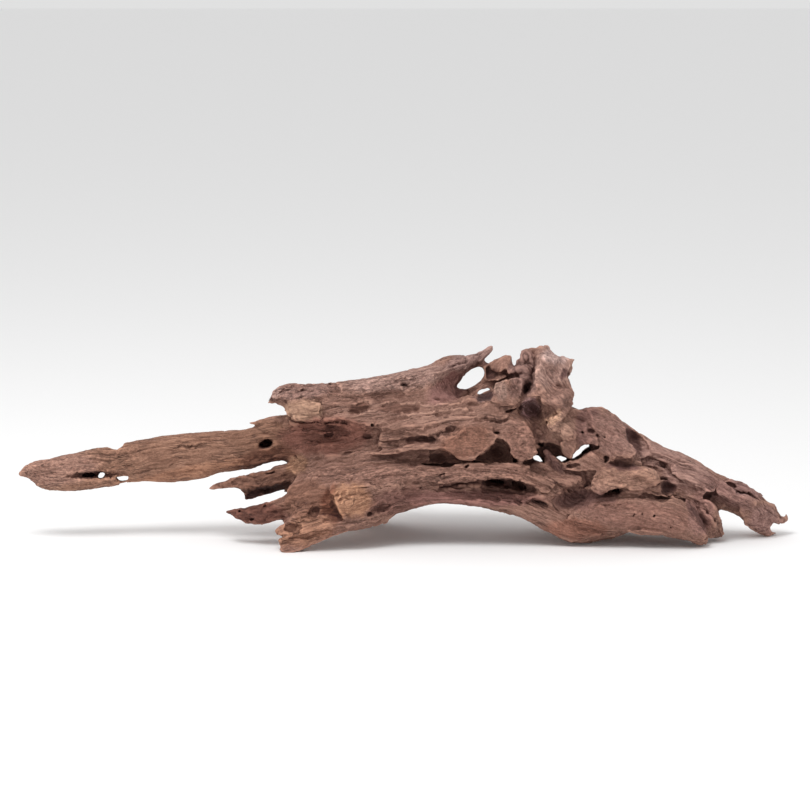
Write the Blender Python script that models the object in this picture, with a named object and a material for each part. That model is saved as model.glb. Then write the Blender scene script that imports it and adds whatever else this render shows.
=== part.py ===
"""A weathered piece of driftwood, 0.77 m long, standing on its feet as one closed solid.

The wood is a bundle of root strands grown together. Each strand is a lofted limb: a path of
stations with an oval section at each. A voxel remesh grows the limbs into one skin, Booleans
take out the rotted hollows and the bored holes, and a flat cut wears the feet level.

Stations are millimetres on a drawing sheet: x runs along the sheet from a datum 16 mm left of the
long arm's tip, h runs up the sheet, and y is the depth behind it, less than zero in front. The
sheet leans back by SHEET_LEAN, so the floor under a point at depth y lies at
h = y * sin(SHEET_LEAN). The part's own frame has +X along the wood, +Y to its back, +Z up, and
the floor at Z = 0.
"""

import math

import bpy
import bmesh
from mathutils import Vector

MM = 0.001
SHEET_LEAN = math.radians(10)
SHEET_MIDDLE = 403.6  # x of the part's origin, half way between the two tips
DEPTH_MIDDLE = 14.0  # y of the part's origin, half way between front and back

RING_SIDES = 16
STEP = 6.0  # millimetres between the rings of a limb
FULLNESS = 2.4  # exponent of the oval section: 2 is an ellipse, more is squarer
CAP_RINGS = 3
CAP_TURN = math.radians(84)  # how far round the dome the last ring of a limb's end lies

SKIN_VOXEL = 0.0032
HOLLOW_VOXEL = 0.0028
TRIANGLE_SHARE = 0.11  # of the remeshed skin's triangles, kept by the thinning
SOFTENING = 0.5
FLOOR_BLOCK = (0.9, 0.5, 0.05)

WOOD_COLOUR = (0.216, 0.117, 0.093, 1.0)
WOOD_ROUGHNESS = 0.85

# Each station is x, h, y, half-width across the path on the sheet, half-depth.
LIMBS = {
    # The body that the strands grow on.
    "core": [
        (312, 84, 16, 42, 24), (338, 84, 16, 50, 36), (380, 92, 20, 52, 46), (440, 104, 22, 50, 48),
        (500, 98, 18, 52, 46), (550, 78, 14, 44, 42), (610, 58, 10, 36, 40), (670, 40, 6, 26, 32),
        (705, 30, 6, 14, 22),
    ],
    # The long arm on the left, and the splinter on its root.
    "arm": [
        (17, 65.5, 4, 2.4, 3), (23, 67, 4, 5.6, 6), (32, 69.6, 4, 8.8, 9), (43, 67.4, 4, 13.2, 12),
        (56, 65.4, 4, 17, 14), (80, 68.2, 5, 19.4, 15), (100, 72, 6, 20, 15), (116, 74.4, 6, 18.8, 14),
        (128, 77.4, 7, 19.8, 15), (145, 79.6, 8, 21.2, 16), (165, 80.2, 9, 23, 17),
        (190, 83.2, 10, 24, 18), (220, 88.4, 11, 21.4, 18), (250, 92.6, 12, 20, 18),
        (280, 98, 12, 19, 18), (320, 98, 12, 18, 18),
    ],
    "arm_foot": [(38, 58, 4, 5.6, 7), (48, 57, 4, 8, 8), (62, 62, 4, 10, 9)],
    "splinter": [
        (242, 117.6, 8, 1.4, 3), (255, 118.4, 8, 2.8, 4), (272, 118.8, 8, 6, 8), (295, 118, 6, 9.4, 12),
    ],
    # The top strand, which thins to a spur, and the wood behind it.
    "top_block": [
        (271, 139.4, -14, 3.6, 9), (279, 143, -14, 9, 13), (290, 145, -14, 12, 16),
        (304, 145, -15, 12, 18), (335, 146, -16, 12, 20), (365, 149.4, -16, 11, 20),
        (395, 155, -14, 10.8, 20), (420, 162, -10, 11, 18), (448, 172.8, -4, 11, 15),
        (468, 179, 0, 6.2, 9), (480, 184, 2, 4.4, 5), (491, 192.6, 2, 3.4, 4),
    ],
    "top_back": [
        (328, 131, 26, 16, 18), (360, 136, 32, 19, 21), (400, 141, 36, 18, 20), (432, 141, 36, 13, 15),
        (452, 137, 34, 8, 10),
    ],
    # The strands across the front, from the top down.
    "pale_flake": [
        (289, 129, -24, 5, 7), (300, 127, -28, 7.5, 9), (320, 127, -30, 7, 9), (345, 130, -26, 6, 9),
    ],
    "upper_strand": [
        (322, 122, -24, 5, 8), (350, 128, -28, 7, 9), (385, 131, -31, 9, 10), (420, 132, -32, 8, 10),
        (455, 134, -31, 6.5, 9), (485, 138, -29, 10, 10), (510, 147, -26, 12, 10), (528, 152, -24, 10, 9),
    ],
    "middle_strand": [
        (352, 117, -24, 3, 5), (375, 113, -29, 6, 8), (405, 112, -34, 8, 10), (440, 116, -35, 8, 10),
        (475, 120, -33, 8, 10), (512, 122, -30, 8, 10),
    ],
    "wedge_flake": [
        (380, 97, -27, 4, 6), (396, 99, -31, 6, 8), (415, 101, -33, 5, 7), (438, 105, -34, 3, 6),
    ],
    "long_ridge": [
        (368, 87, -28, 2, 5), (390, 87.5, -33, 2.8, 6), (408, 91, -37, 4, 7), (432, 97, -39, 6, 8),
        (455, 98, -39, 13, 9), (476, 100, -36, 14, 9), (494, 108, -32, 8, 8),
    ],
    "cave_column": [
        (521, 114, -32, 4, 6), (520, 104, -36, 8, 8), (521, 94, -38, 10, 9), (524, 84, -37, 8, 9),
    ],
    # The band above the arch, and the arch's own edge.
    "waist_strand": [
        (316, 66, -28, 8, 10), (350, 64, -33, 9, 11), (392, 68, -37, 8, 11), (430, 66, -38, 8, 11),
        (475, 68, -38, 7, 11), (515, 67, -38, 6.5, 11), (545, 59, -37, 7, 11), (575, 58, -34, 8, 10),
    ],
    "arch_back": [
        (385, 48, -2, 12, 22), (440, 55, 2, 11, 26), (500, 48, 2, 12, 28), (555, 34, -2, 15, 26),
        (600, 34, -6, 16, 24),
    ],
    "arch_strip": [
        (372, 27, -36, 5.4, 10), (400, 34, -35, 6.7, 12), (440, 43, -33, 7, 13),
        (480, 39.6, -33, 8.2, 14), (520, 33, -32, 9.4, 14), (555, 17.4, -30, 11.8, 14),
        (580, 9.6, -26, 12.4, 16), (620, 17, -26, 12.3, 16),
    ],
    # The front foot on the left and the lobe with the worn flake above it.
    "front_foot": [
        (285, -7, -64, 5.2, 9), (295, -2, -62, 9.3, 12), (312, 7.2, -56, 10.6, 14),
        (335, 18.6, -50, 11.6, 16), (360, 24.6, -43, 12.4, 16), (381, 26, -36, 10, 14),
    ],
    "foot_knuckle": [(278, 9.5, -52, 4, 7), (289, 13, -52, 8, 11), (306, 22, -48, 13, 15)],
    "foot_edge": [(281, 2, -58, 3, 6), (292, 5, -57, 7, 9), (306, 12, -54, 9, 10)],
    "lower_lobe": [
        (290, 38, -34, 10, 12), (303, 38, -38, 16, 15), (330, 42, -42, 20, 16), (362, 44, -42, 20, 15),
        (395, 46, -36, 13, 13),
    ],
    "worn_flake": [
        (338, 38, -54, 6, 5), (350, 40, -56, 12, 6), (372, 44, -54, 11, 6), (398, 54, -46, 6, 6),
    ],
    # The broken prongs under the arm.
    "prong_upper": [
        (206, 50.6, -2, 2.4, 3), (220, 53.2, -2, 5, 5), (238, 56.6, -2, 8.2, 8), (256, 59.6, -3, 9, 10),
        (280, 63, -5, 9.4, 12), (310, 68, -8, 12, 14),
    ],
    "prong_lip": [
        (243, 43.4, 8, 3.4, 5), (251, 46, 8, 4.6, 6), (264, 49.5, 8, 4.6, 6), (285, 55, 6, 7, 9),
        (305, 58, 2, 9, 10),
    ],
    "prong_lower": [
        (225, 28, -24, 2.4, 3), (235, 27.6, -24, 4.8, 5), (250, 25.6, -24, 9.4, 9),
        (266, 27.4, -25, 11.2, 12), (282, 30, -28, 11, 14), (305, 34, -30, 12, 14),
    ],
    # The crown: the thin wall round the bowl, the fins and the burl.
    "bowl_wall": [(425, 150, 4, 14, 12), (455, 156, 8, 20, 9), (480, 158, 8, 20, 8), (505, 156, 4, 19, 10)],
    "crown_fin": [(484, 166, -4, 8, 7), (498, 172, -4, 8.4, 7), (509, 183, -4, 4, 5)],
    "crown_comb": [(518, 160, -8, 6, 8), (520, 172, -8, 5, 7), (521, 184, -8, 3.4, 5)],
    "burl_left": [
        (531, 187, -8, 6, 8), (529, 178, -10, 8.6, 10), (528, 160, -12, 9.6, 14), (529, 140, -14, 9, 14),
    ],
    "burl": [
        (545, 194, -4, 3.6, 5), (545, 186, -5, 9.2, 12), (546, 172, -8, 18, 18),
        (549, 154, -12, 21.4, 22), (550, 140, -14, 21.4, 22), (553, 118, -12, 16, 20),
        (558, 100, -8, 13, 18), (562, 86, -6, 9, 15),
    ],
    "burl_point": [(551, 172, -8, 9, 12), (562, 176, -8, 5.8, 8), (573.4, 179.4, -8, 2.6, 4)],
    "burl_shoulder": [(538, 142, -34, 4, 6), (550, 138, -36, 8, 8), (562, 132, -32, 9, 9)],
    "bright_knuckle": [
        (548, 118, -38, 4, 6), (558, 114, -38, 7, 8), (568, 105, -34, 8, 9), (575, 92, -28, 5, 8),
    ],
    # The crest that falls to the right, with its plates.
    "neck": [(556, 120, -6, 12, 16), (580, 117, -6, 10, 14), (606, 112, -4, 12, 14)],
    "crest": [
        (574, 125.4, -4, 5, 9), (594, 123.4, -4, 10, 14), (608, 115.4, -2, 10.8, 16),
        (630, 101.6, 0, 10, 18), (652, 86.4, 2, 10, 18), (676, 76, 4, 12, 19), (698, 64.4, 6, 12, 17),
        (712, 53.6, 8, 13.6, 14), (728, 44.6, 11, 15.4, 13), (747, 35.6, 14, 14, 13),
        (763, 23.8, 18, 14, 12), (776, 22, 20, 9, 9),
    ],
    "crest_plate": [
        (602, 120, -18, 9, 9), (610, 106, -26, 13, 10), (618, 93, -30, 12, 10), (628, 85, -32, 6, 7),
    ],
    "bridge": [(575, 104, -18, 6, 9), (590, 106, -20, 7, 9), (604, 104, -22, 7, 9)],
    "hip": [(592, 86, -14, 9, 12), (600, 70, -20, 12, 14), (612, 60, -24, 14, 16)],
    "beak_plate": [
        (598, 55, -40, 7, 7), (612, 63, -44, 11, 8), (632, 65, -45, 11, 8), (648, 62, -44, 8, 6),
        (657, 59, -42, 2.5, 3),
    ],
    # The lower right block, the root beside it and the two tips.
    "lower_block": [
        (583, 32, -36, 3, 7), (602, 28, -40, 9, 11), (635, 23.5, -43, 16.4, 13), (668, 22, -42, 18, 13),
        (686, 14, -38, 15.4, 13), (700, 5.4, -34, 9.8, 11),
    ],
    "root_strand": [
        (668, 58, -14, 9, 12), (688, 46, -16, 9, 12), (707, 30, -12, 9.8, 12), (715, 14, -4, 8.4, 10),
    ],
    "root_toe": [(713, 8, -2, 7.4, 8), (720, 4.8, 0, 5.2, 6), (725.5, 4.2, 2, 2.8, 4)],
    "ridge_root": [(700, 62, -10, 8, 9), (720, 50, -6, 7, 8), (745, 36, 2, 8, 9), (760, 26, 8, 8, 9)],
    "knob_log": [(727, 58.6, 16, 4, 5), (744, 51.2, 18, 5.4, 6), (761, 43.6, 18, 5, 6)],
    "tip_upper": [(766, 32, 18, 8, 8), (777, 26, 20, 7.4, 7), (788, 19.4, 22, 4.8, 5)],
    "tip_lower": [(757, 19, 20, 7.6, 9), (768, 10.4, 21, 6.8, 8), (777.6, 6.8, 22, 4.8, 5)],
    # The back: two root feet and the strands between them.
    "back_root_left": [
        (456, 70, 42, 24, 20), (420, 62, 56, 25, 20), (386, 50, 70, 22, 18), (358, 36, 82, 17, 15),
        (338, 25.4, 90, 12.4, 12),
    ],
    "back_toe_left": [(352, 38, 80, 10, 10), (330, 40, 90, 7, 8), (316, 36, 96, 5, 6)],
    "back_root_right": [
        (530, 62, 40, 22, 20), (574, 52, 54, 20, 18), (612, 38, 66, 17, 16), (640, 27, 76, 13, 13),
        (660, 22, 82, 9, 10),
    ],
    "back_toe_right": [(624, 36, 66, 9, 9), (654, 36, 74, 7, 7), (680, 28, 78, 4, 5)],
    "back_strand_top": [
        (302, 127, 28, 6, 8), (336, 133, 40, 11, 12), (380, 143, 44, 13, 13), (416, 151, 42, 10, 11),
        (442, 153, 36, 5, 7),
    ],
    "back_strand_high": [
        (290, 108, 34, 6, 8), (320, 112, 50, 12, 12), (366, 114, 62, 13, 13), (424, 128, 68, 14, 12),
        (486, 130, 60, 12, 12), (530, 136, 44, 12, 12),
    ],
    "back_strand_mid": [
        (312, 84, 44, 9, 10), (352, 80, 62, 11, 12), (410, 92, 74, 12, 12), (470, 88, 72, 14, 13),
        (530, 94, 58, 12, 12), (592, 78, 44, 12, 12), (640, 64, 36, 9, 10),
    ],
    "back_strand_right": [
        (560, 108, 32, 10, 12), (600, 100, 34, 10, 12), (650, 76, 30, 9, 12), (700, 50, 26, 9, 11),
        (728, 40, 24, 6, 8),
    ],
    "back_stub": [(400, 110, 62, 15, 16), (382, 120, 80, 12, 13), (372, 124, 90, 9, 9)],
    "back_crown": [(518, 148, 18, 14, 16), (544, 158, 16, 15, 16), (556, 126, 20, 14, 16)],
    "back_fin": [(446, 142, 36, 9, 9), (468, 143, 42, 8, 8), (492, 143, 38, 9, 10)],
}

# Hollows have the same stations as limbs, and are cut away.
HOLLOWS = {
    # In the arm and between the prongs.
    "arm_slit": [
        (66, 63, -12, 1.6, 5), (82, 64.5, -10, 3.4, 8), (98, 66, -8, 4, 10), (108, 66, -10, 2.4, 7),
    ],
    "arm_end_slot": [(112, 65, -8, 1.4, 5), (122, 65.5, -8, 2, 6), (132, 65.5, -9, 1.2, 5)],
    "prong_gap": [(240, 35, 0, 3.8, 80), (258, 40, 0, 3.4, 80), (276, 45, 0, 2.6, 80)],
    "arm_gap": [
        (222, 62.4, 0, 4.4, 70), (240, 67.2, 0, 3.8, 70), (262, 71.8, 0, 3.4, 70),
        (276, 75.6, 0, 2.4, 70), (287, 79, 0, 1.4, 70),
    ],
    "prong_split": [(252, 61, -20, 1, 5), (266, 66, -14, 2.6, 10), (278, 68.5, -14, 2.4, 10)],
    "prong_under": [(240, 38, -14, 5, 9), (262, 44, -14, 5.5, 9), (288, 52, -18, 3.4, 8)],
    # Across the front.
    "valley": [
        (304, 104, -34, 7, 12), (325, 104, -34, 11, 16), (352, 103, -36, 12, 17), (372, 101, -38, 9, 13),
    ],
    "valley_floor": [(318, 82, -34, 9, 12), (350, 80, -38, 7, 12), (372, 78, -40, 5, 10)],
    "long_recess": [
        (374, 79, -42, 2.6, 8), (400, 81, -40, 5, 12), (425, 83, -34, 6.5, 17), (441, 83, -26, 7.5, 22),
        (452, 83, -18, 5.5, 18),
    ],
    "cave": [
        (472, 80, -30, 3, 12), (484, 84, -22, 7, 24), (496, 89, -16, 11, 30), (508, 84, -18, 8, 26),
        (514, 80, -22, 4, 14),
    ],
    "cave_roof": [(498, 94, -22, 5, 20), (500, 103, -26, 2.6, 12)],
    "arch_hollow": [
        (442, 54, -46, 3, 8), (462, 57, -42, 4.5, 12), (485, 58, -36, 5, 18), (505, 58, -32, 4.8, 20),
        (525, 54, -38, 4, 14), (538, 49, -42, 3, 9),
    ],
    "arch_dimple": [(490, 38, -46, 3, 5), (499, 38, -46, 4, 6)],
    # In the crown and under it.
    "bowl": [
        (436, 142, -22, 4, 10), (446, 148, -22, 11, 16), (460, 154, -18, 15, 18), (475, 162, -14, 12, 16),
    ],
    "low_bowl": [(474, 145, -22, 4, 16), (484, 146, -22, 6, 20), (492, 147, -22, 4, 16)],
    "burl_pocket": [
        (524, 131, -38, 5, 12), (534, 128, -30, 10, 20), (542, 118, -28, 8, 18), (536, 106, -30, 6, 16),
    ],
    "burl_eye": [(556, 160, -30, 2, 4), (562, 163, -28, 3.6, 8), (566, 167, -26, 2, 5)],
    "burl_groove": [
        (533, 190, -24, 2.4, 8), (531, 172, -26, 3.2, 9), (528, 155, -30, 4, 9), (524, 142, -34, 3, 8),
    ],
    "gallery": [
        (522, 79, -30, 4, 16), (536, 84, -24, 6, 22), (548, 92, -22, 7, 22), (560, 86, -24, 6, 20),
        (576, 82, -24, 5, 18), (590, 90, -26, 4, 12),
    ],
    # In the right half.
    "shadow_bay": [(562, 44, -46, 7, 12), (578, 42, -44, 11, 16), (588, 46, -42, 8, 14)],
    "beak_slot": [(594, 46, -46, 3, 8), (610, 48, -42, 4, 12), (624, 50, -40, 3, 10)],
    "crest_pocket": [(627, 108, -26, 3.4, 10), (633, 101, -20, 7, 16), (638, 92, -22, 6, 14)],
    "plate_pocket": [(584, 109, -32, 2, 5), (591, 106, -30, 3.4, 7)],
    "beak_pocket": [(654, 62, -32, 4, 8), (664, 56, -28, 8, 18), (672, 52, -26, 6, 14)],
    "block_slot": [(640, 46, -44, 2.6, 8), (662, 43, -42, 3.4, 12), (684, 40, -38, 2.8, 8)],
    "root_pocket": [(702, 46, -26, 3, 6), (709, 43, -22, 5, 11), (717, 46, -18, 3.4, 7)],
    "root_groove": [(686, 38, -40, 2.6, 8), (695, 26, -38, 3.4, 10), (702, 14, -34, 3, 8)],
    # Behind, and under the arch.
    "back_cave_left": [(372, 98, 92, 5, 14), (396, 106, 90, 10, 22), (420, 110, 92, 6, 14)],
    "back_cave_right": [(496, 110, 84, 6, 14), (520, 112, 74, 10, 24), (548, 106, 68, 6, 14)],
    "back_groove_high": [(330, 98, 74, 4, 14), (362, 97, 84, 5, 16), (440, 110, 96, 5, 14)],
    "back_groove_top": [
        (318, 122, 62, 3, 10), (370, 129, 70, 5, 16), (440, 142, 66, 6, 18), (500, 146, 54, 5, 14),
    ],
    "back_groove_low": [
        (400, 74, 92, 3, 12), (446, 75, 92, 5, 16), (520, 74, 84, 6, 18), (590, 62, 72, 4, 12),
    ],
    "back_shadow": [(600, 90, 60, 4, 14), (630, 78, 56, 7, 20), (664, 62, 52, 4, 14)],
    "under_arch": [(430, 22, 50, 16, 26), (490, 18, 54, 22, 30), (540, 4, 50, 20, 26)],
}

# Holes bored or rotted through, along the line of sight: x, h, half-length, half-width,
# slope of the long axis in degrees, and the depths where the hole starts and ends.
HOLES = {
    "bowl_window": (471.4, 161.8, 15.6, 7.6, 42, -60, 90),
    "bowl_slit": (484, 147.6, 6, 2.6, 12, -60, 90),
    "arm_window": (100, 65, 4.6, 2.6, 18, -40, 50),
    "arm_end_window": (121, 61.4, 6.6, 2.6, 4, -40, 50),
    "gallery_window_left": (538.8, 81.3, 8, 3.2, -28, -60, 120),
    "gallery_window_middle": (561, 81.4, 5.8, 3, -8, -60, 120),
    "gallery_window_right": (581.5, 89.4, 12, 5, 36, -60, 120),
    "arm_knot_hole": (265.5, 96.5, 9, 4.6, 12, -20, 14),
    "top_knot_hole": (404, 155, 5, 2.4, 0, -50, -6),
    "foot_slot": (315, 29, 9, 3.4, 30, -72, -38),
    "foot_pit": (296, 16, 5, 4, 40, -72, -50),
    "strand_knot_hole": (495.5, 107.5, 4.4, 1.8, 14, -60, -28),
    "comb_gap": (514.2, 186, 2, 11, 0, -40, 40),
}


def place(x, h, y):
    """The point of the part's frame, in metres, that lies at x, h on the sheet and y behind it."""
    z = (h - y * math.sin(SHEET_LEAN)) / math.cos(SHEET_LEAN)
    return Vector(((x - SHEET_MIDDLE) * MM, (y - DEPTH_MIDDLE) * MM, z * MM))


def curve_through(stations):
    """Stations about STEP apart on a smooth curve through the given ones."""
    padded = [stations[0], *stations, stations[-1]]
    found = []
    for before, start, end, after in zip(padded, padded[1:], padded[2:], padded[3:]):
        run = math.dist(start[:3], end[:3])
        pieces = max(2, round(run / STEP))
        for i in range(pieces):
            t = i / pieces
            found.append(tuple(catmull_rom(a, b, c, d, t) for a, b, c, d in zip(before, start, end, after)))
    return [*found, stations[-1]]


def catmull_rom(a, b, c, d, t):
    return 0.5 * (2 * b + (c - a) * t + (2 * a - 5 * b + 4 * c - d) * t**2 + (3 * b - a - 3 * c + d) * t**3)


def rounded_ends(stations):
    """The stations with shrinking ones added past both ends, so that a limb ends in a dome."""

    def dome(last, inner):
        x, h, y, half_width, half_depth = last
        out = Vector(last[:3]) - Vector(inner[:3])
        out.normalize()
        reach = min(half_width, half_depth)
        rings = []
        for i in range(1, CAP_RINGS + 1):
            turn = CAP_TURN * i / CAP_RINGS
            ahead = out * reach * math.sin(turn)
            size = math.cos(turn)
            rings.append((x + ahead.x, h + ahead.y, y + ahead.z, half_width * size, half_depth * size))
        return rings

    start = dome(stations[0], stations[1])
    end = dome(stations[-1], stations[-2])
    return [*reversed(start), *stations, *end]


def oval(turn):
    """A point of the unit section, squarer than a circle by FULLNESS."""
    c, s = math.cos(turn), math.sin(turn)
    power = 2 / FULLNESS
    return math.copysign(abs(c) ** power, c), math.copysign(abs(s) ** power, s)


def add_tube(bm, rings):
    """Bridges the rings of points, closes both ends, and leaves the shell facing out."""
    loops = [[bm.verts.new(place(*point)) for point in ring] for ring in rings]
    faces = []
    for low, high in zip(loops, loops[1:]):
        for i in range(len(low)):
            j = (i + 1) % len(low)
            faces.append(bm.faces.new((low[i], low[j], high[j], high[i])))
    faces.append(bm.faces.new(loops[0]))
    faces.append(bm.faces.new(loops[-1]))
    bmesh.ops.recalc_face_normals(bm, faces=faces)


def add_limb(bm, stations):
    """Lofts an oval section along the stations' path."""
    path = rounded_ends(curve_through(stations))
    rings = []
    for i, (x, h, y, half_width, half_depth) in enumerate(path):
        ahead, behind = path[min(i + 1, len(path) - 1)], path[max(i - 1, 0)]
        along = (Vector(ahead[:3]) - Vector(behind[:3])).normalized()
        across = Vector((-along.y, along.x, 0)).normalized()
        inward = along.cross(across).normalized()
        ring = []
        for k in range(RING_SIDES):
            u, w = oval(2 * math.pi * k / RING_SIDES)
            point = Vector((x, h, y)) + across * (u * half_width) + inward * (w * half_depth)
            ring.append(tuple(point))
        rings.append(ring)
    add_tube(bm, rings)


def add_hole(bm, x, h, half_length, half_width, slope, start, end):
    """An oval bar along the line of sight."""
    turn = math.radians(slope)
    ring = []
    for k in range(RING_SIDES):
        angle = 2 * math.pi * k / RING_SIDES
        u, w = half_length * math.cos(angle), half_width * math.sin(angle)
        right = x + u * math.cos(turn) - w * math.sin(turn)
        up = h + u * math.sin(turn) + w * math.cos(turn)
        ring.append((right, up))
    add_tube(bm, [[(px, ph, y) for px, ph in ring] for y in (start, end)])


def new_object(name, bm):
    mesh = bpy.data.meshes.new(name)
    bm.to_mesh(mesh)
    bm.free()
    made = bpy.data.objects.new(name, mesh)
    bpy.context.scene.collection.objects.link(made)
    return made


def make_helper(cutter):
    cutter.hide_render = True
    cutter.display_type = "WIRE"


def add_remesh(target, name, voxel):
    grown = target.modifiers.new(name, "REMESH")
    grown.mode = "VOXEL"
    grown.voxel_size = voxel


def add_cut(target, name, cutter):
    cut = target.modifiers.new(name, "BOOLEAN")
    cut.operation = "DIFFERENCE"
    cut.solver = "EXACT"
    cut.object = cutter


def hollow_cutter():
    """Every rotted hollow as one cutter."""
    bm = bmesh.new()
    for stations in HOLLOWS.values():
        add_limb(bm, stations)
    cutter = new_object("hollow_cutter", bm)
    add_remesh(cutter, "fuse", HOLLOW_VOXEL)
    make_helper(cutter)
    return cutter


def hole_cutter():
    """Every bored hole as one cutter. The bars don't touch each other."""
    bm = bmesh.new()
    for hole in HOLES.values():
        add_hole(bm, *hole)
    cutter = new_object("hole_cutter", bm)
    make_helper(cutter)
    return cutter


def floor_block():
    """The block below the floor, which levels the feet."""
    bm = bmesh.new()
    bmesh.ops.create_cube(bm, size=1)
    bmesh.ops.scale(bm, vec=FLOOR_BLOCK, verts=bm.verts)
    bmesh.ops.translate(bm, vec=(0, 0, -FLOOR_BLOCK[2] / 2), verts=bm.verts)
    block = new_object("floor_cutter", bm)
    make_helper(block)
    return block


def wood_material():
    wood = bpy.data.materials.new("weathered_wood")
    wood.use_nodes = True
    shader = wood.node_tree.nodes["Principled BSDF"]
    shader.inputs["Base Color"].default_value = WOOD_COLOUR
    shader.inputs["Roughness"].default_value = WOOD_ROUGHNESS
    shader.inputs["Metallic"].default_value = 0.0
    return wood


def driftwood():
    bm = bmesh.new()
    for stations in LIMBS.values():
        add_limb(bm, stations)
    wood = new_object("driftwood", bm)
    add_remesh(wood, "grow_together", SKIN_VOXEL)
    add_cut(wood, "rot_out", hollow_cutter())
    add_remesh(wood, "close_skin", SKIN_VOXEL)
    soften = wood.modifiers.new("soften", "SMOOTH")
    soften.factor = SOFTENING
    soften.iterations = 1
    thin = wood.modifiers.new("thin_out", "DECIMATE")
    thin.ratio = TRIANGLE_SHARE
    add_cut(wood, "bore_through", hole_cutter())
    add_cut(wood, "wear_feet", floor_block())
    wood.data.materials.append(wood_material())
    return wood


def main():
    for old in list(bpy.data.objects):
        bpy.data.objects.remove(old)
    driftwood()


main()
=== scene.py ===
# %% [markdown]
# # A piece of driftwood
# Root wood that has lain in water is one solid thing, so the scene has one main piece, the wood
# itself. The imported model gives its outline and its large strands. This script adds and carves
# what is smaller: broken plates, worn faces, torn edges, furrows, knot holes and grain. It starts
# by loading the model as a fixed frame.

# %% Load the frame
import math

import bmesh
import bpy
import numpy as np
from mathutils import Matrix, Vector
from mathutils.bvhtree import BVHTree
from mathutils.geometry import delaunay_2d_cdt


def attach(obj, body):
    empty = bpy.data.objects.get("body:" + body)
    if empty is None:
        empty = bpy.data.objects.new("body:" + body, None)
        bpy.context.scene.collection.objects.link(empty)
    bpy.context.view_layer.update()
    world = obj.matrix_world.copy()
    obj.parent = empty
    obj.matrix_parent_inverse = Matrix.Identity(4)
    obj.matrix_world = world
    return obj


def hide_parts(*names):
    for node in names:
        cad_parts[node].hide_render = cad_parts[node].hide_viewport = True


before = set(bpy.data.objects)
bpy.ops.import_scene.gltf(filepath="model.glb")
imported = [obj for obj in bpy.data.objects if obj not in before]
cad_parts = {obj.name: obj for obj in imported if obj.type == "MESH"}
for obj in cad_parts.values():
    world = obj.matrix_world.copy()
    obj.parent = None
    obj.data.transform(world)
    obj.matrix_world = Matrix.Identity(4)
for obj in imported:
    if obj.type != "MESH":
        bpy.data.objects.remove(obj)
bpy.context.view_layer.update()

cad_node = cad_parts["driftwood"]

# %% [markdown]
# ## The drawing sheet
# The part was drawn on a sheet that leans back by ten degrees, which is how the camera sees it. On
# the sheet x runs right, d runs down and y is the depth behind the sheet, all in millimetres.
# Marks for the carving are easiest to set out on that sheet, so two helpers change places on it
# to the part's own metres and back. Moving a point in y alone keeps it at the same spot for the
# camera. The tables below write places one after another in long rows, and a third helper takes
# such a row apart.

# %% Places on the sheet
MM = 0.001
SHEET_LEAN = math.radians(10)
SHEET_MIDDLE = 403.6
DEPTH_MIDDLE = 14.0
FLOOR_LINE = 540.0


def to_part(sheet):
    """Points of the part's frame, in metres, for rows of x, d, y on the sheet."""
    x, d, y = np.asarray(sheet, float).T
    z = (FLOOR_LINE - d - y * math.sin(SHEET_LEAN)) / math.cos(SHEET_LEAN)
    return np.column_stack((x - SHEET_MIDDLE, y - DEPTH_MIDDLE, z)) * MM


def to_sheet(points):
    """Rows of x, d, y on the sheet for points of the part's frame."""
    x, y, z = (np.asarray(points, float) / MM).T
    y = y + DEPTH_MIDDLE
    d = FLOOR_LINE - z * math.cos(SHEET_LEAN) - y * math.sin(SHEET_LEAN)
    return np.column_stack((x + SHEET_MIDDLE, d, y))


def places(numbers, width):
    """Rows of this many numbers each, out of one long row of a table."""
    return [tuple(row) for row in np.reshape(numbers, (-1, width)).tolist()]


print("the sheet's x 403.6, d 540 is at", to_part([(403.6, 540, 14)]).round(4)[0])

# %% [markdown]
# ## Helpers for meshes
# Numpy works on all points of a mesh at once, so the mesh's points go into an array and back. A
# modifier's result is made plain with new_from_object, which leaves no live modifier behind.

# %% Mesh helpers
def points_of(piece):
    found = np.empty(len(piece.data.vertices) * 3, np.float32)
    piece.data.vertices.foreach_get("co", found)
    return found.reshape(-1, 3).astype(float)


def set_points(piece, points):
    piece.data.vertices.foreach_set("co", points.astype(np.float32).ravel())
    piece.data.update()


def normals_of(piece):
    found = np.empty(len(piece.data.vertices) * 3, np.float32)
    piece.data.vertex_normals.foreach_get("vector", found)
    return found.reshape(-1, 3)


def attribute_of(piece, name):
    """A stored number of each point, as an array."""
    data = piece.data.attributes[name].data
    found = np.empty(len(data), np.float32)
    data.foreach_get("value", found)
    return found.astype(float)


def set_attribute(piece, name, values):
    kind, field = ("FLOAT", "value") if values.ndim == 1 else ("FLOAT_VECTOR", "vector")
    stored = piece.data.attributes.get(name) or piece.data.attributes.new(name, kind, "POINT")
    stored.data.foreach_set(field, values.astype(np.float32).ravel())


def new_piece(name, mesh):
    piece = bpy.data.objects.new(name, mesh)
    bpy.context.scene.collection.objects.link(piece)
    return piece


def settle_modifiers(piece):
    """Makes the result of the piece's modifiers its plain mesh."""
    graph = bpy.context.evaluated_depsgraph_get()
    mesh = bpy.data.meshes.new_from_object(piece.evaluated_get(graph))
    piece.modifiers.clear()
    old, piece.data = piece.data, mesh
    bpy.data.meshes.remove(old)


def remesh(piece, voxel):
    """Grows everything in the mesh into one closed skin of even faces."""
    change = piece.modifiers.new("even skin", "REMESH")
    change.mode = "VOXEL"
    change.voxel_size = voxel
    change.use_smooth_shade = True
    settle_modifiers(piece)


def join_into(piece, *others):
    """Adds the others' faces to the piece's mesh, and removes the others."""
    joined = bmesh.new()
    for one in (piece, *others):
        joined.from_mesh(one.data)
    joined.to_mesh(piece.data)
    joined.free()
    for one in others:
        bpy.data.objects.remove(one)


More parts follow.
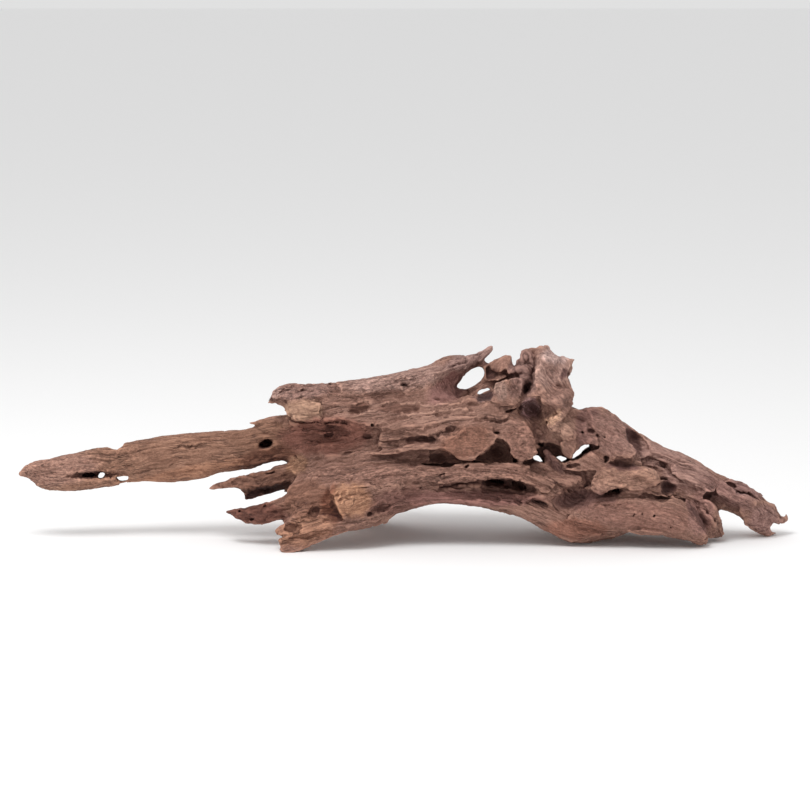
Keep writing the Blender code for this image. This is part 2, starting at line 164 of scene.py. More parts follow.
def triangles_of(piece):
    piece.data.calc_loop_triangles()
    return len(piece.data.loop_triangles)


def say(piece, words):
    print(f"{words}: {len(piece.data.vertices)} points, {len(piece.data.polygons)} faces")


# %% [markdown]
# ## A clean copy of the frame
# The frame's mesh is loose triangles, and is never changed. A copy is merged, and a voxel remesh
# gives it small faces of even size. Its old facets would show as flat spots, so the skin is
# relaxed towards its neighbours' average. Every second pass pushes it back out a little more,
# which is the trick that keeps thin tips from shrinking.

# %% Copy, remesh and relax
SAME_PLACE = 1e-6
SKIN_VOXEL = 0.0014
CARVE_VOXEL = 0.0011
TO_CAMERA = (0.0, -math.cos(SHEET_LEAN), math.sin(SHEET_LEAN))
RELAX_PASSES = 14
RELAX_IN, RELAX_OUT = 0.55, -0.57


def neighbours_of(piece):
    """For each point its neighbours' numbers in one long row, and where each point's own start."""
    edges = np.empty(len(piece.data.edges) * 2, np.int32)
    piece.data.edges.foreach_get("vertices", edges)
    edges = edges.reshape(-1, 2)
    both = np.concatenate([edges, edges[:, ::-1]])
    both = both[np.argsort(both[:, 0], kind="stable")]
    starts = np.searchsorted(both[:, 0], np.arange(len(piece.data.vertices)))
    counts = np.diff(np.append(starts, len(both)))
    return both[:, 1], starts, counts


def averaged(values, around):
    """Each point's value replaced by the average of its neighbours'."""
    others, starts, counts = around
    total = np.add.reduceat(values[others], starts, axis=0)
    return total / (counts if values.ndim == 1 else counts[:, None])


def calmed(piece, values, passes):
    """The values of the points, averaged with their neighbours' again and again."""
    around = neighbours_of(piece)
    for _ in range(passes):
        values = averaged(values, around)
    return values


def relax(piece, passes):
    around = neighbours_of(piece)
    points = points_of(piece)
    for _ in range(passes):
        for share in (RELAX_IN, RELAX_OUT):
            points += share * (averaged(points, around) - points)
    set_points(piece, points)


merged = bmesh.new()
merged.from_mesh(cad_node.data)
bmesh.ops.remove_doubles(merged, verts=merged.verts, dist=SAME_PLACE)
skin_mesh = bpy.data.meshes.new("driftwood_skin")
merged.to_mesh(skin_mesh)
merged.free()
wood = new_piece("driftwood_skin", skin_mesh)
for name in ("custom_normal", "sharp_edge", "sharp_face"):
    if name in wood.data.attributes:
        wood.data.attributes.remove(wood.data.attributes[name])
remesh(wood, SKIN_VOXEL)
relax(wood, RELAX_PASSES)
say(wood, "relaxed skin")

# %% [markdown]
# ## The material's name and the node helpers
# Every Geometry Nodes tree below ends by giving its mesh this material, so it is made first and
# painted later. The helpers add a node, fill its inputs with numbers or with other nodes'
# outputs, and start and end a tree.

# %% Node helpers
wood_material = bpy.data.materials.new("weathered_wood")


def add_node(tree, kind, inputs=None, **settings):
    node = tree.nodes.new(kind)
    for key, value in settings.items():
        setattr(node, key, value)
    for key, value in (inputs or {}).items():
        if isinstance(value, bpy.types.NodeSocket):
            tree.links.new(value, node.inputs[key])
        else:
            node.inputs[key].default_value = value
    return node


def maths(tree, operation, *values):
    """The output of a Math node on numbers or sockets."""
    return add_node(tree, "ShaderNodeMath", dict(enumerate(values)), operation=operation).outputs[0]


def times(tree, first, second):
    return maths(tree, "MULTIPLY", first, second)


def add_times(tree, value, amount, total):
    """The total with this amount of the value added."""
    return maths(tree, "MULTIPLY_ADD", value, amount, total)


def vector_maths(tree, operation, *values):
    """The output of a Vector Math node: a number for DOT_PRODUCT and LENGTH, else a vector."""
    inputs = dict(enumerate(values))
    if operation == "SCALE":
        inputs = {0: values[0], "Scale": values[1]}
    node = add_node(tree, "ShaderNodeVectorMath", inputs, operation=operation)
    return node.outputs["Value" if operation in ("DOT_PRODUCT", "LENGTH") else "Vector"]


def ramp(tree, value, low, high, to_low=0.0, to_high=1.0, smooth=True):
    """The value mapped from low..high to to_low..to_high, held at both ends."""
    node = add_node(
        tree, "ShaderNodeMapRange",
        {0: value, 1: low, 2: high, 3: to_low, 4: to_high},
        interpolation_type="SMOOTHSTEP" if smooth else "LINEAR",
    )
    return node.outputs[0]


def named(tree, name, kind="FLOAT"):
    """The numbers that the mesh's points store under this name."""
    return add_node(tree, "GeometryNodeInputNamedAttribute", {"Name": name}, data_type=kind).outputs["Attribute"]


def stored(tree, geometry, name, value, kind="FLOAT"):
    """The geometry with the value stored at its points under this name."""
    return add_node(
        tree, "GeometryNodeStoreNamedAttribute", {"Geometry": geometry, "Name": name, "Value": value},
        data_type=kind, domain="POINT",
    ).outputs[0]


def start_tree(name, sizes):
    """A Geometry Nodes tree with named number inputs, and its group input node."""
    tree = bpy.data.node_groups.new(name, "GeometryNodeTree")
    tree.interface.new_socket("Geometry", in_out="INPUT", socket_type="NodeSocketGeometry")
    for size, value in sizes.items():
        socket = tree.interface.new_socket(size, in_out="INPUT", socket_type="NodeSocketFloat")
        socket.default_value = value
    tree.interface.new_socket("Geometry", in_out="OUTPUT", socket_type="NodeSocketGeometry")
    return tree, tree.nodes.new("NodeGroupInput")


def end_tree(tree, geometry):
    """Ends a tree in Realize Instances and Set Material."""
    real = add_node(tree, "GeometryNodeRealizeInstances", {"Geometry": geometry})
    painted = add_node(
        tree, "GeometryNodeSetMaterial", {"Geometry": real.outputs[0], "Material": wood_material}
    )
    add_node(tree, "NodeGroupOutput", {"Geometry": painted.outputs[0]})


def run_tree(piece, tree, sizes):
    """Runs the tree on the piece with these sizes, and keeps the plain result."""
    change = piece.modifiers.new(tree.name, "NODES")
    change.node_group = tree
    for item in tree.interface.items_tree:
        if item.in_out == "INPUT" and item.name in sizes:
            change[item.identifier] = float(sizes[item.name])
    settle_modifiers(piece)


# %% [markdown]
# ## Strands that grow along a path
# The frame has the large limbs. The small ones, such as the fillets in the arch, the comb on the
# crown and the blades under the burl, are grown here from a few stations each: a place on the
# sheet and a half-width. A tube along a curve follows a rule, so Geometry Nodes make it. The
# tree smooths the path, gives the tube its width at each station, and flattens it in depth.

# %% The tree for strands
STRAND_SIDES = 14
STRAND_STEP = 0.003


def strand_tree():
    tree, given = start_tree("grow strands", {"Step": STRAND_STEP, "Flatness": 1.0})
    curve = add_node(tree, "GeometryNodeMeshToCurve", {"Mesh": given.outputs["Geometry"]})
    smooth = add_node(
        tree, "GeometryNodeCurveSplineType", {"Curve": curve.outputs[0]}, spline_type="CATMULL_ROM"
    )
    even = add_node(
        tree, "GeometryNodeResampleCurve",
        {"Curve": smooth.outputs[0], "Length": given.outputs["Step"]}, mode="LENGTH",
    )
    place = tree.nodes.new("GeometryNodeInputPosition").outputs[0]
    path = stored(tree, even.outputs[0], "middle", place, "FLOAT_VECTOR")
    ring = add_node(
        tree, "GeometryNodeCurvePrimitiveCircle", {"Resolution": STRAND_SIDES, "Radius": 1.0}, mode="RADIUS"
    )
    tube = add_node(
        tree, "GeometryNodeCurveToMesh",
        {"Curve": path, "Profile Curve": ring.outputs[0], "Scale": named(tree, "width"), "Fill Caps": True},
    )
    middle = named(tree, "middle", "FLOAT_VECTOR")
    out = vector_maths(tree, "SUBTRACT", place, middle)
    squeeze = add_node(tree, "ShaderNodeCombineXYZ", {0: 1.0, 1: given.outputs["Flatness"], 2: 1.0})
    flat = vector_maths(tree, "MULTIPLY", out, squeeze.outputs[0])
    moved = add_node(
        tree, "GeometryNodeSetPosition",
        {"Geometry": tube.outputs[0], "Position": vector_maths(tree, "ADD", middle, flat)},
    )
    end_tree(tree, moved.outputs[0])
    return tree


strands_tree = strand_tree()


def grown(name, paths, flatness):
    """One piece of tubes along the paths. Each path is rows of x, d, y and half-width."""
    points, edges, widths = [], [], []
    for path in paths:
        first = len(points)
        points += [tuple(p) for p in to_part([station[:3] for station in path])]
        edges += [(first + i, first + i + 1) for i in range(len(path) - 1)]
        widths += [station[3] * MM for station in path]
    mesh = bpy.data.meshes.new(name)
    mesh.from_pydata(points, edges, [])
    piece = new_piece(name, mesh)
    set_attribute(piece, "width", np.array(widths))
    run_tree(piece, strands_tree, {"Step": STRAND_STEP, "Flatness": flatness})
    return piece


print("strand tree:", len(strands_tree.nodes), "nodes")

# %% [markdown]
# ## Fillets and small limbs
# Each station has four numbers: x, d, the depth behind the sheet and the half-width. The fillets
# close the parts of the frame's hollows that the real wood doesn't have. The others stand out.

# %% Fillets and limbs
FILLETS = {
    "arch_left": (386,486,-36,7, 410,486,-38,8, 430,487,-35,7, 446,490,-33,5),
    "arch_floor": (434,494,-33,6, 462,494,-33,7, 498,494,-33,8, 530,498,-35,7),
    "crescent_back": (430,484,-34,7, 456,483,-30,7, 474,483,-24,7, 496,483,-17,7, 512,485,-22,7, 530,488,-30,7,
        544,492,-35,6),
    "arch_right": (530,492,-34,6, 548,492,-35,8, 572,492,-32,9, 600,496,-36,7),
    "hip_bay": (560,502,-34,8, 574,500,-32,8, 590,500,-34,7, 608,498,-38,5),
    "bowl_ramp": (388,393,-22,6, 410,389,-20,9, 434,386,-10,9, 450,388,0,7),
    "valley_end": (366,440,-24,6, 390,444,-30,7, 430,446,-32,6),
    "recess_left": (360,457,-24,6, 385,457,-30,7, 408,457,-30,6, 428,457,-24,5),
    "slab_groove": (380,418,-30,5, 420,419,-32,6, 470,416,-32,6, 505,412,-30,5),
    "beak_back": (618,490,-34,7, 640,488,-36,7, 660,492,-32,6),
    "block_back": (600,500,-38,5, 640,497,-38,6, 672,499,-36,5),
    "crest_join": (606,462,-36,7, 622,464,-34,6, 640,464,-22,6),
}

BLADES = {
    "fin_tip": (470,362,-22,4, 480,356,-20,3.4, 486,351.6,-18,3, 490.6,348.8,-17,2.6),
    "arm_splinter": (244,422.6,-12,1.4, 254,420.6,-13,2.0, 268,418,-14,3, 284,415,-14,3),
    "window_strand": (544,450,-24,3, 551,458,-26,4, 560,468,-30,4, 572,476,-32,4),
    "root_lumps": (698,500,-20,5, 710,508,-20,7, 711,520,-16,6, 718,533,-13,5),
    "jaw_top": (770,509,14,5, 777,513,14,5, 783.6,520.4,15,2.6),
    "jaw_low": (764,524,14,5, 770,531,15,4.4, 775,534.6,15,2),
    "lip_over_cave": (474,458,-40,1.4, 483,450,-43,3, 491,441,-43,3.4, 500,434,-42,3),
    "plate_foot": (446,448,-40,4, 458,452,-43,6, 470,453,-43,6, 480,447,-43,5),
    "waist_lip": (438,481,-46,2, 462,477,-48,3.6, 498,474,-48,3.6, 520,477,-47,3.4, 538,485,-44,3, 556,484,-44,2),
}

BLADE_FLATNESS = 0.9


def stations_in(table):
    return [places(numbers, 4) for numbers in table.values()]


join_into(
    wood, grown("fillets", stations_in(FILLETS), 1.0), grown("blades", stations_in(BLADES), BLADE_FLATNESS)
)
remesh(wood, SKIN_VOXEL)
say(wood, "wood with its small limbs")

# %% [markdown]
# ## Broken plates
# Where a layer has broken off, the wood ends in a plate with a crisp, torn edge. A plate is drawn as
# an outline on the sheet. Rays find the skin under it, a gently curved face is fitted to the
# foremost of those points, and the plate gets that face, a torn outline and a smaller back.

# %% Plates
PLATES = {
    # An outline of x, d places, then how far the plate stands proud and how thick it is.
    "worn_flake": ((331,484, 340,482.4, 354,484, 368,483, 378,487, 372,496, 362,501, 352,506, 350,514, 344,519.6,
        340,510, 336,501, 330,492), 2.2, 10),
    "tan_plate": ((441,437, 452,430, 465,424, 480,421, 492,427, 495,434, 489,444, 483,450, 478,457, 472,460.6, 460,459,
        453,454, 446,449), 1.0, 9),
    "slab": ((322,404, 345,402, 372,403, 404,402, 430,405, 460,404, 478,406, 474,412, 448,412, 424,416, 400,424,
        380,427, 364,425, 350,423, 336,419), 0.4, 9),
    "slab_low": ((384,424, 410,420, 440,416, 470,416, 500,414, 505,420, 470,423, 456,428, 444,430, 432,434.6,
        420,436.6, 408,433.4, 396,430), 0.8, 9),
}
PLATE_STEP = 1.8
PLATE_TEAR = 0.5
PLATE_GRID = 3.0
GRID_INSET = 1.0
PLATE_BACK = 0.8
FIT_SCALE = 20.0
FIT_ROUNDS = 8
FIT_STIFFNESS = 0.4
FIT_DROP = 3.0
FIRST_SEED = 11


def front_depth(skin, x, d):
    """The depth of the skin that the camera sees at this place on the sheet, or None."""
    start = Vector(to_part([(x, d, 0)])[0]) + Vector(TO_CAMERA)
    hit = skin.ray_cast(start, -Vector(TO_CAMERA))[0]
    return to_sheet([hit])[0][2] if hit else None


def skin_of(piece):
    return BVHTree.FromPolygons(points_of(piece).tolist(), [tuple(p.vertices) for p in piece.data.polygons])


def fitted_depth(spots, depths):
    """A gently curved face through the foremost spots, as a function of x and d."""
    middle = spots.mean(0)

    def terms(rows):
        u, v = ((rows - middle) / FIT_SCALE).T
        return np.column_stack((np.ones(len(u)), u, v, u * u, u * v, v * v))

    weight = np.ones(len(depths))
    for _ in range(FIT_ROUNDS):
        pull = terms(spots) * weight[:, None]
        numbers = np.linalg.solve(pull.T @ pull + FIT_STIFFNESS * np.eye(6), pull.T @ (depths * weight))
        behind = depths - terms(spots) @ numbers
        weight = np.where(behind > 0, np.exp(-behind / FIT_DROP), 1.0)
    return lambda rows: terms(rows) @ numbers


def torn_outline(outline, random):
    """The outline in short steps with a torn course, and a grid of places within its box."""
    corners = np.array([*outline, outline[0]], float)
    edge = []
    for a, b in zip(corners, corners[1:]):
        count = max(1, round(np.linalg.norm(b - a) / PLATE_STEP))
        edge += [a + (b - a) * i / count for i in range(count)]
    edge = np.array(edge)
    tear = random.normal(0, PLATE_TEAR, edge.shape)
    edge = edge + (tear + np.roll(tear, 1, 0)) / 2
    columns, rows = (np.arange(*ends, PLATE_GRID) for ends in zip(edge.min(0) + GRID_INSET, edge.max(0)))
    inner = [(x, d) for x in columns for d in rows]
    count = len(edge)
    rim = [(i, (i + 1) % count) for i in range(count)]
    within, nearest = 1, 0.01
    spots, _, faces, *_ = delaunay_2d_cdt(
        [Vector(p) for p in (*edge, *inner)], rim, [list(range(count))], within, nearest
    )
    return np.array([tuple(p) for p in spots]), [tuple(f) for f in faces]


def slab(name, spots, faces, front, back, shrink):
    """A closed slab over the spots, between two depths. Its back is smaller by the shrink."""
    middle = spots.mean(0)
    near = np.column_stack((spots, front))
    far = np.column_stack((middle + (spots - middle) * shrink, back))
    total = len(spots)
    sides = {(a, b) for f in faces for a, b in zip(f, (*f[1:], f[0]))}
    rim = [(b, a) for a, b in sides if (b, a) not in sides]
    backs = [tuple(i + total for i in reversed(f)) for f in faces]
    walls = [(a, b, b + total, a + total) for a, b in rim]
    mesh = bpy.data.meshes.new(name)
    mesh.from_pydata([tuple(p) for p in to_part(np.concatenate((near, far)))], [], faces + backs + walls)
    return new_piece(name, mesh)


def plate(name, skin, outline, proud, thickness, random):
    spots, faces = torn_outline(places(outline, 2), random)
    found = [(p, front_depth(skin, *p)) for p in spots]
    found = [(p, y) for p, y in found if y is not None]
    face = fitted_depth(np.array([p for p, _ in found]), np.array([y for _, y in found]))
    return slab(name, spots, faces, face(spots) - proud, face(spots) - proud + thickness, PLATE_BACK)


random = np.random.default_rng(FIRST_SEED)
skin = skin_of(wood)
join_into(wood, *[plate(name, skin, *numbers, random) for name, numbers in PLATES.items()])
remesh(wood, SKIN_VOXEL)
say(wood, "wood with its plates")

# %% [markdown]
# ## Sculpted forms
# The burl, the knuckle, the crest plate, the beak and the heavy block have faces that no tube
# gives. Each is sculpted from places with a depth: an outline, then some places inside it. A
# thin plate spline, which is how a bent steel sheet would lie, carries the face through them all.
# What stands in front of the face is cut away, and wood is filled in behind it. Where two forms
# overlap, the foremost one shows, so a form can also close a gap that goes too deep.

# %% Forms
FORMS = {
    # Outline of x, d, y places, places inside, and the thickness.
    "top_end": ((266.6,404,-16, 267.6,399.6,-20, 272,394,-20, 280,386.6,-15, 290,384,-13, 312,383.4,-10, 336,382.4,-7,
        342,392,-30, 336,400,-32, 322,401.6,-34, 300,401,-36, 286,404,-30, 275,402,-21), (280,395,-29, 300,393,-34,
        322,391,-33, 290,388,-24, 316,387,-22), 14),
    "pale_flake": ((285,411,-34, 290,404.6,-36, 300,401.6,-39, 315,402,-42, 322,405,-43, 321,412,-44, 323,419.6,-43,
        310,421.6,-41, 296,421.8,-39, 289,417,-34), (304,411,-45, 314,408,-46, 297,414,-42), 12),
    "furrowed": ((322,402.6,-36, 345,402,-37, 352,404,-38, 350,411,-37, 346,419,-38, 324,420,-37), (334,410,-36), 12),
    "valley": ((285,415,-6, 294,421.6,-16, 322,421.4,-22, 348,424,-24, 356,428,-25, 379,428.6,-27, 381,436,-27,
        379,444,-29, 374,451,-32, 368,456,-34, 372,466,-40, 345,470,-38, 320,470,-34, 304,466,-14, 297,458,-6,
        292,448,-4, 288,436,-2, 283,424,-2), (308,427,-5, 330,427,-7, 312,435,-6, 334,436,-10, 352,434,-15,
        368,436,-19, 322,444,-16, 344,447,-22, 304,450,-10, 362,448,-27, 330,455,-26, 346,462,-25, 322,462,-22), 10),
    "ridge_lip": ((364,452,-38, 380,451,-40, 394,449,-42, 410,444,-43, 426,442,-44, 441,440.6,-46, 446,446,-46,
        438,449.4,-46, 424,449.4,-45, 412,449,-45, 396,454,-44, 380,455.6,-43, 368,455,-40), (400,448,-44,
        424,446,-46), 7),
    "recess_floor": ((368,455.6,-34, 385,456,-35, 396,454,-35, 412,449.6,-33, 428,449.6,-31, 430,463,-33,
        412,464.6,-35, 390,464,-36, 372,463,-36), (398,459,-33, 418,457,-30), 9),
    "recess_deep": ((428,450,-29, 440,449,-25, 450,452,-23, 458,459,-24, 472,462,-25, 470,464,-30, 440,464,-30,
        428,463.6,-31), (440,456,-20), 9),
    "cave": ((498,435.6,-20, 492.6,441,-18, 484,448.4,-18, 478,456,-18, 472,461.4,-22, 490,462.4,-26, 514,462,-28,
        512,456,-22, 508,446,-20, 503,440,-20), (497,448,-8, 494,455,-11, 503,456,-12), 9),
    "waist_top": ((452,462.4,-43, 480,462.2,-43, 512,462.4,-42, 530,463,-40, 530,468,-44, 490,468,-46, 452,468,-46),
        (480,465,-46), 8),
    "crescent": ((439,491,-42, 442,486.6,-38, 452,483,-36, 464,480.6,-34, 480,479,-32, 500,478.4,-30, 515,480.4,-31,
        528,485,-34, 538,491,-38, 536,496,-42, 524,501,-44, 510,504,-45, 495,504,-46, 470,501,-46, 455,499,-46,
        445,496,-45), (456,490,-38, 474,488,-36, 489,483,-20, 504,484,-19, 520,488,-24, 480,494,-41, 500,493,-36,
        516,495,-38, 462,495,-44, 498,499,-43), 10),
    "prong_under": ((241,491.6,-8, 262,488.4,-8, 280,484.4,-8, 292,480.4,-10, 291,486.4,-2, 276,491,0, 262,495,0,
        250,498.6,0, 242.6,500,0, 246,495,-2), (266,491,2), 8),
    "foot_ring": ((286,521,-56, 294,517.6,-61, 302,520,-62, 304,527,-64, 299,533,-62, 291,532,-61, 285,528,-58),
        (293,526,-55, 297,524,-57), 8),
    "foot_band": ((280,541,-56, 286,537.6,-57, 297,533.4,-60, 312,531,-61, 330,527.6,-60, 346,524,-58, 348,530,-56,
        330,537,-56, 312,544.4,-59, 297,551,-65, 284,552.6,-66, 280.4,549,-63), (296,541,-61, 316,536,-61), 12),
    "burl_face": ((533,350,-12, 538,347,-13, 545,343.4,-11, 550,351,-13, 560,356.6,-15, 575,359.4,-9, 570,366,-17,
        566.5,373,-21, 566,383,-25, 571,389,-25, 573,395,-27, 571,407,-32, 563,412,-39, 557,415,-43, 554,408,-45,
        548,404,-47, 541,402,-48, 539,396,-47, 532,396.5,-48, 524,397,-47, 528,393,-45, 532,386,-42, 533,378,-36,
        535,366,-28, 533,356,-18), (543,351,-19, 544,358,-31, 555,359,-28, 566,360,-19, 548,366,-28, 559,366,-22,
        542,375,-31, 552,378,-26, 560,381,-30, 547,385,-34, 558,388,-27, 536,389,-48, 541,392,-50, 551,393,-40,
        562,395,-40, 566,402,-35, 552,400,-51, 560,404,-49, 537,372,-36, 537,381,-43), 14),
    "comb_left": ((520,353,-15, 526,350,-16, 530,350.6,-15, 530,362,-18, 528,365,-17, 524,365,-17, 519,366,-17),
        (525,357,-21), 10),
    "comb_ball": ((523,367,-19, 527,366,-20, 529.6,370,-20, 528,377,-21, 522,378,-21), (525.6,371,-25), 8),
    "comb_block": ((494,383,-33, 501,379.6,-36, 512,378.4,-38, 521.6,377.8,-37, 521.4,386,-40, 520,394,-40,
        519,401,-40, 512,404.6,-40, 500,405,-40, 491,403,-39, 492.6,396,-38, 493.4,389,-36), (503,388,-38.6,
        508,382,-38, 508,394,-40, 514,388,-39.6, 505,400,-40), 10),
    "pocket": ((521,400,-30, 530,397.6,-30, 539,397.6,-28, 541,403,-27, 543,411,-28, 546,420,-31, 549,430,-32,
        546,438,-26, 536,440,-22, 529,434,-30, 523,426,-38, 514,422,-40, 506,418,-39, 508,411,-35, 514,406,-31),
        (530,403,-8, 536,407,-2, 535,414,-8, 539,427,-20, 524,409,-14, 520,415,-26, 528,420,-24, 533,430,-24), 10),
    "fibrous_wall": ((541,404,-26, 547,404,-34, 553,407,-40, 556,413,-40, 551,418,-40, 545,421,-35, 542,414,-27),
        (548,411,-34), 8),
    "knuckle_fray": ((545,424,-46, 547,420,-47, 552,416.4,-46, 557,412.6,-45, 562,409,-43, 567,405.6,-38, 570,408,-37,
        567,412.6,-38, 564,416.6,-41, 561,420.6,-45, 558,424,-48, 556.4,428,-49, 553.6,432,-48, 550,432.6,-48,
        547.4,429,-47), (552,423,-51, 558,416,-49, 564,410,-43), 9),
    "knuckle_face": ((557.6,424.6,-45, 562,424,-45, 568,427.6,-44, 573,430,-42, 575,434,-42, 573.6,438,-43,
        569,441,-43, 563,440.6,-43, 559,438,-44, 556.6,434,-45, 555.6,429,-46), (563,430,-50, 568,434,-49,
        561,435,-47), 10),
    "knuckle_foot": ((558,441,-39, 566,441,-41, 573,439,-41, 575,446,-40, 571,459.4,-38, 566,456,-33, 561,450,-33),
        (567,448,-38), 9),
    "neck": ((562,413,-36, 570,408.6,-32, 576,409,-29, 583,411.4,-27, 588,409,-28, 588,418,-31, 585,428,-33,
        577,433,-36, 571,427,-38, 564,419,-38), (573,418,-28, 581,421,-27, 578,415,-30), 10),
    "neck_lip": ((585,436,-34, 592,437,-36, 597,437,-36, 597,446,-36, 590,443.6,-36, 580,444,-36, 574,449,-36,
        575,440,-38, 579,432,-37), (588,440,-39, 580,438,-36), 8),
    "crest_face": ((587,410,-27, 594,406.4,-25, 600,407,-23, 610,413.6,-23, 620,421,-22, 624,428,-29, 625,438,-36,
        629,445,-41, 633.4,451,-45, 630,458,-46, 620,459.4,-44, 608,459,-39, 601,454,-36, 598,446,-35, 598,436,-36,
        591,428,-35, 586,420,-31), (600,418,-31, 611,427,-36, 617,440,-42, 607,444,-40, 622,450,-47), 10),
    "crest_pocket": ((625,429,-12, 633,430,-9, 640,434,-7, 645,441,-9, 651,448,-13, 648,456,-18, 640,460,-22,
        632,459,-26, 633,450,-22, 628,444,-16, 625,436,-12), (632,438,0, 638,446,-6), 8),
    "under_windows": ((560,462,-32, 570,460.6,-32, 582,458,-34, 592,451,-36, 598,447,-34, 604,458,-34, 600,470,-37,
        588,471,-38, 572,471,-39, 560,470,-37), (590,461,-38), 8),
    "cave_post": ((513,424,-39, 522,420.6,-39, 528,426,-43, 532,434,-45, 534,444,-46, 536.6,452,-47, 533,456,-47,
        527,460,-45, 520,461.4,-43, 514,458,-45, 510,448,-45, 504,440,-45, 496,437.4,-43, 502,432,-41, 508,430,-39),
        (520,430,-47, 518,442,-50, 527,449,-51, 510,436,-44), 10),
    "beak": ((589,484,-45, 592,476,-41, 596,468,-38, 603,462.6,-36, 612,462,-33, 622,462,-31, 632,464,-35, 641,465,-40,
        651,470,-43, 657,476,-43, 660,482,-41, 650,485.6,-45, 640,489.6,-47, 630,490.6,-47, 624,484.6,-50,
        615,487.4,-52, 606,489.6,-53, 598,494.6,-51, 593,491.6,-49), (632,469,-48, 642,470,-52, 650,475,-51,
        655,479.6,-48, 612,468,-40, 624,467,-36, 638,479,-46, 626,477,-45, 604,477,-50, 600,486,-53, 613,480,-52), 11),
    "block": ((572,513,-42, 580,507,-43, 590,502.6,-45, 604,501,-45, 622,497.6,-45, 640,496,-43, 655,499,-43,
        677,497.6,-41, 685,504,-43, 691,512,-47, 698,522,-49, 705,536,-46, 698,541,-46, 680,537.6,-47, 660,531.6,-47,
        640,528.6,-46, 618,530.6,-44, 600,533.6,-42, 585,538,-40, 570,540.6,-38, 558,535,-39, 562,522,-42),
        (600,511,-52, 630,507,-54, 660,508,-55, 680,511,-54, 690,524,-55, 650,518,-57, 610,522,-52, 580,522,-48,
        670,524,-56), 18),
    "bay": ((538,494,-42, 548,491,-42, 557,489.6,-42, 566,487,-38, 580,485.6,-32, 589,487,-32, 600,494,-38,
        598,499,-42, 586,504,-42, 578,509,-42, 568,515.6,-39, 558,511,-36, 548,506,-38, 541,500,-42), (550,499,-37,
        560,500,-32, 572,496,-24, 583,493,-24), 9),
    "log": ((723,481,-8, 730,478.6,-6, 742,482,-4, 756,490,0, 764.6,496,3, 758,501,-3, 748,496,-6, 738,491,-8,
        728,487,-9), (733,483,-11, 746,489,-8, 757,496,-4), 10),
    "tip": ((738,500,-12, 748,502,-11, 760,499,-4, 768,503,2, 775,504.6,6, 779,512,8, 782,518,10, 788,521.6,13,
        786,524,14, 779,523,13, 774.6,528,13, 779,534,14, 770,537.6,13, 758,531.6,7, 748,525,0, 742,515,-8),
        (757,510,-8, 768,512,-2, 764,522,0, 774,518,4, 770,530,7), 14),
    "fin_tip": ((474,357,-4, 480,353.8,-1, 485,350.4,0, 489.6,346.4,1, 492.4,345.6,2, 493.8,349.6,2, 490.6,352.8,1,
        486,357,0, 481.6,360.8,-3, 476,361,-4), (484,355,-4, 489,350,-2), 7),
    "under_top": ((384,391.4,-31, 396,390.6,-32, 406,389.6,-32, 414,384,-30, 423,379.6,-29, 431,376,-27, 430,386,-30,
        430,395,-31, 436,402,-34, 432,404,-37, 415,404,-38, 398,404,-38, 386,401,-36), (400,397,-33, 420,397,-33,
        422,388,-30), 8),
    "bowl": ((430,375,-27, 445,369,-26, 457,365,-24, 466,363,-20, 467,367,-14, 460,375,-9, 455,386,-8, 456,396,-10,
        463,401,-25, 450,403.4,-34, 437,403,-36, 430,397,-33, 428,386,-30), (440,380,-22, 450,380,-14, 444,390,-20,
        451,392,-14, 440,397,-28, 450,372,-19), 9),
    "wave_hollow": ((382,441,-32, 396,440,-33, 406,437,-34, 415,436.4,-34, 426,436,-33, 434,437.4,-34, 438,439.6,-38,
        430,441.6,-43, 418,444,-44, 404,447,-43, 392,450,-41, 381,451,-39), (395,444,-34, 410,441,-34, 425,438.6,-33),
        8),
    "horn_hollow": ((439,438,-47, 442,431,-42, 448,426.6,-41, 455,425,-42, 461,425.6,-44, 459,430,-47, 452,434,-48,
        445,437,-48), (449,431,-42), 8),
    "step_right": ((466.4,402.4,-37, 480,401,-37, 488,402,-38, 484,409,-40, 475,415.6,-41, 470,412,-38, 466.6,409,-37),
        (474,407,-36), 8),
    "crest_lobe": ((676,462,-17, 690,464,-16, 702,470,-16, 712,476,-15, 718,482,-13, 716,487,-17, 713.6,491,-23,
        706,493.4,-27, 699,489,-28, 690,483.6,-28, 680,480,-27, 672,474,-22, 670,467,-18), (690,474,-24, 704,482,-24,
        700,476,-21, 682,470,-21), 9),
    "under_lobe": ((677,482,-16, 688,485,-15, 698,490.6,-14, 704,494,-14, 703,500,-14, 697,498,-15, 688,498,-18,
        680,497,-20, 675,492,-16, 675,486,-14), (687,491,-10, 696,495,-10), 8),
    "notch_dark": ((703,494,-10, 708,493.6,-10, 713,491.6,-8, 716,486,-6, 719,489,-6, 717,495,-6, 712,500,-12,
        706,500,-14), (711,496,-9), 8),
    "crest_groove": ((633,452,-14, 645,453,-14, 656,459,-13, 668,463,-13, 673,468,-14, 672,472,-16, 664,471,-16,
        652,466,-16, 640,461,-18, 632,459,-20), (650,459,-11, 662,466,-10), 8),
    "tip_strand": ((715,487,-17, 719,480.6,-12, 724,482.6,-12, 730,488.6,-13, 740,493.6,-12, 750,498,-10, 758,502,-8,
        756,505.6,-11, 746,505,-14, 736,502,-15, 726,498.6,-17, 718,495,-19), (728,493,-19, 742,499,-17), 9),
    "tip_under": ((718,496.6,-8, 728,500,-8, 740,504,-7, 748,506.6,-7, 751,513,-6, 746,518,-2, 740,514,-1, 730,510,-1,
        720,508.6,-3, 715,506,-8), (730,505,-3), 8),
    "root_face": ((694,500,-22, 701,499,-24, 707,503,-26, 712,508.6,-24, 717,513,-22, 720.6,519,-20, 722.4,527,-17,
        724.6,533,-14, 724,537,-12, 718,537.6,-14, 715,538.6,-15, 709,537.6,-18, 706,533,-22, 704,526,-22, 700,516,-24,
        696,508,-24), (706,511,-30, 711,520,-30, 714,529,-26, 708,528,-27), 12),
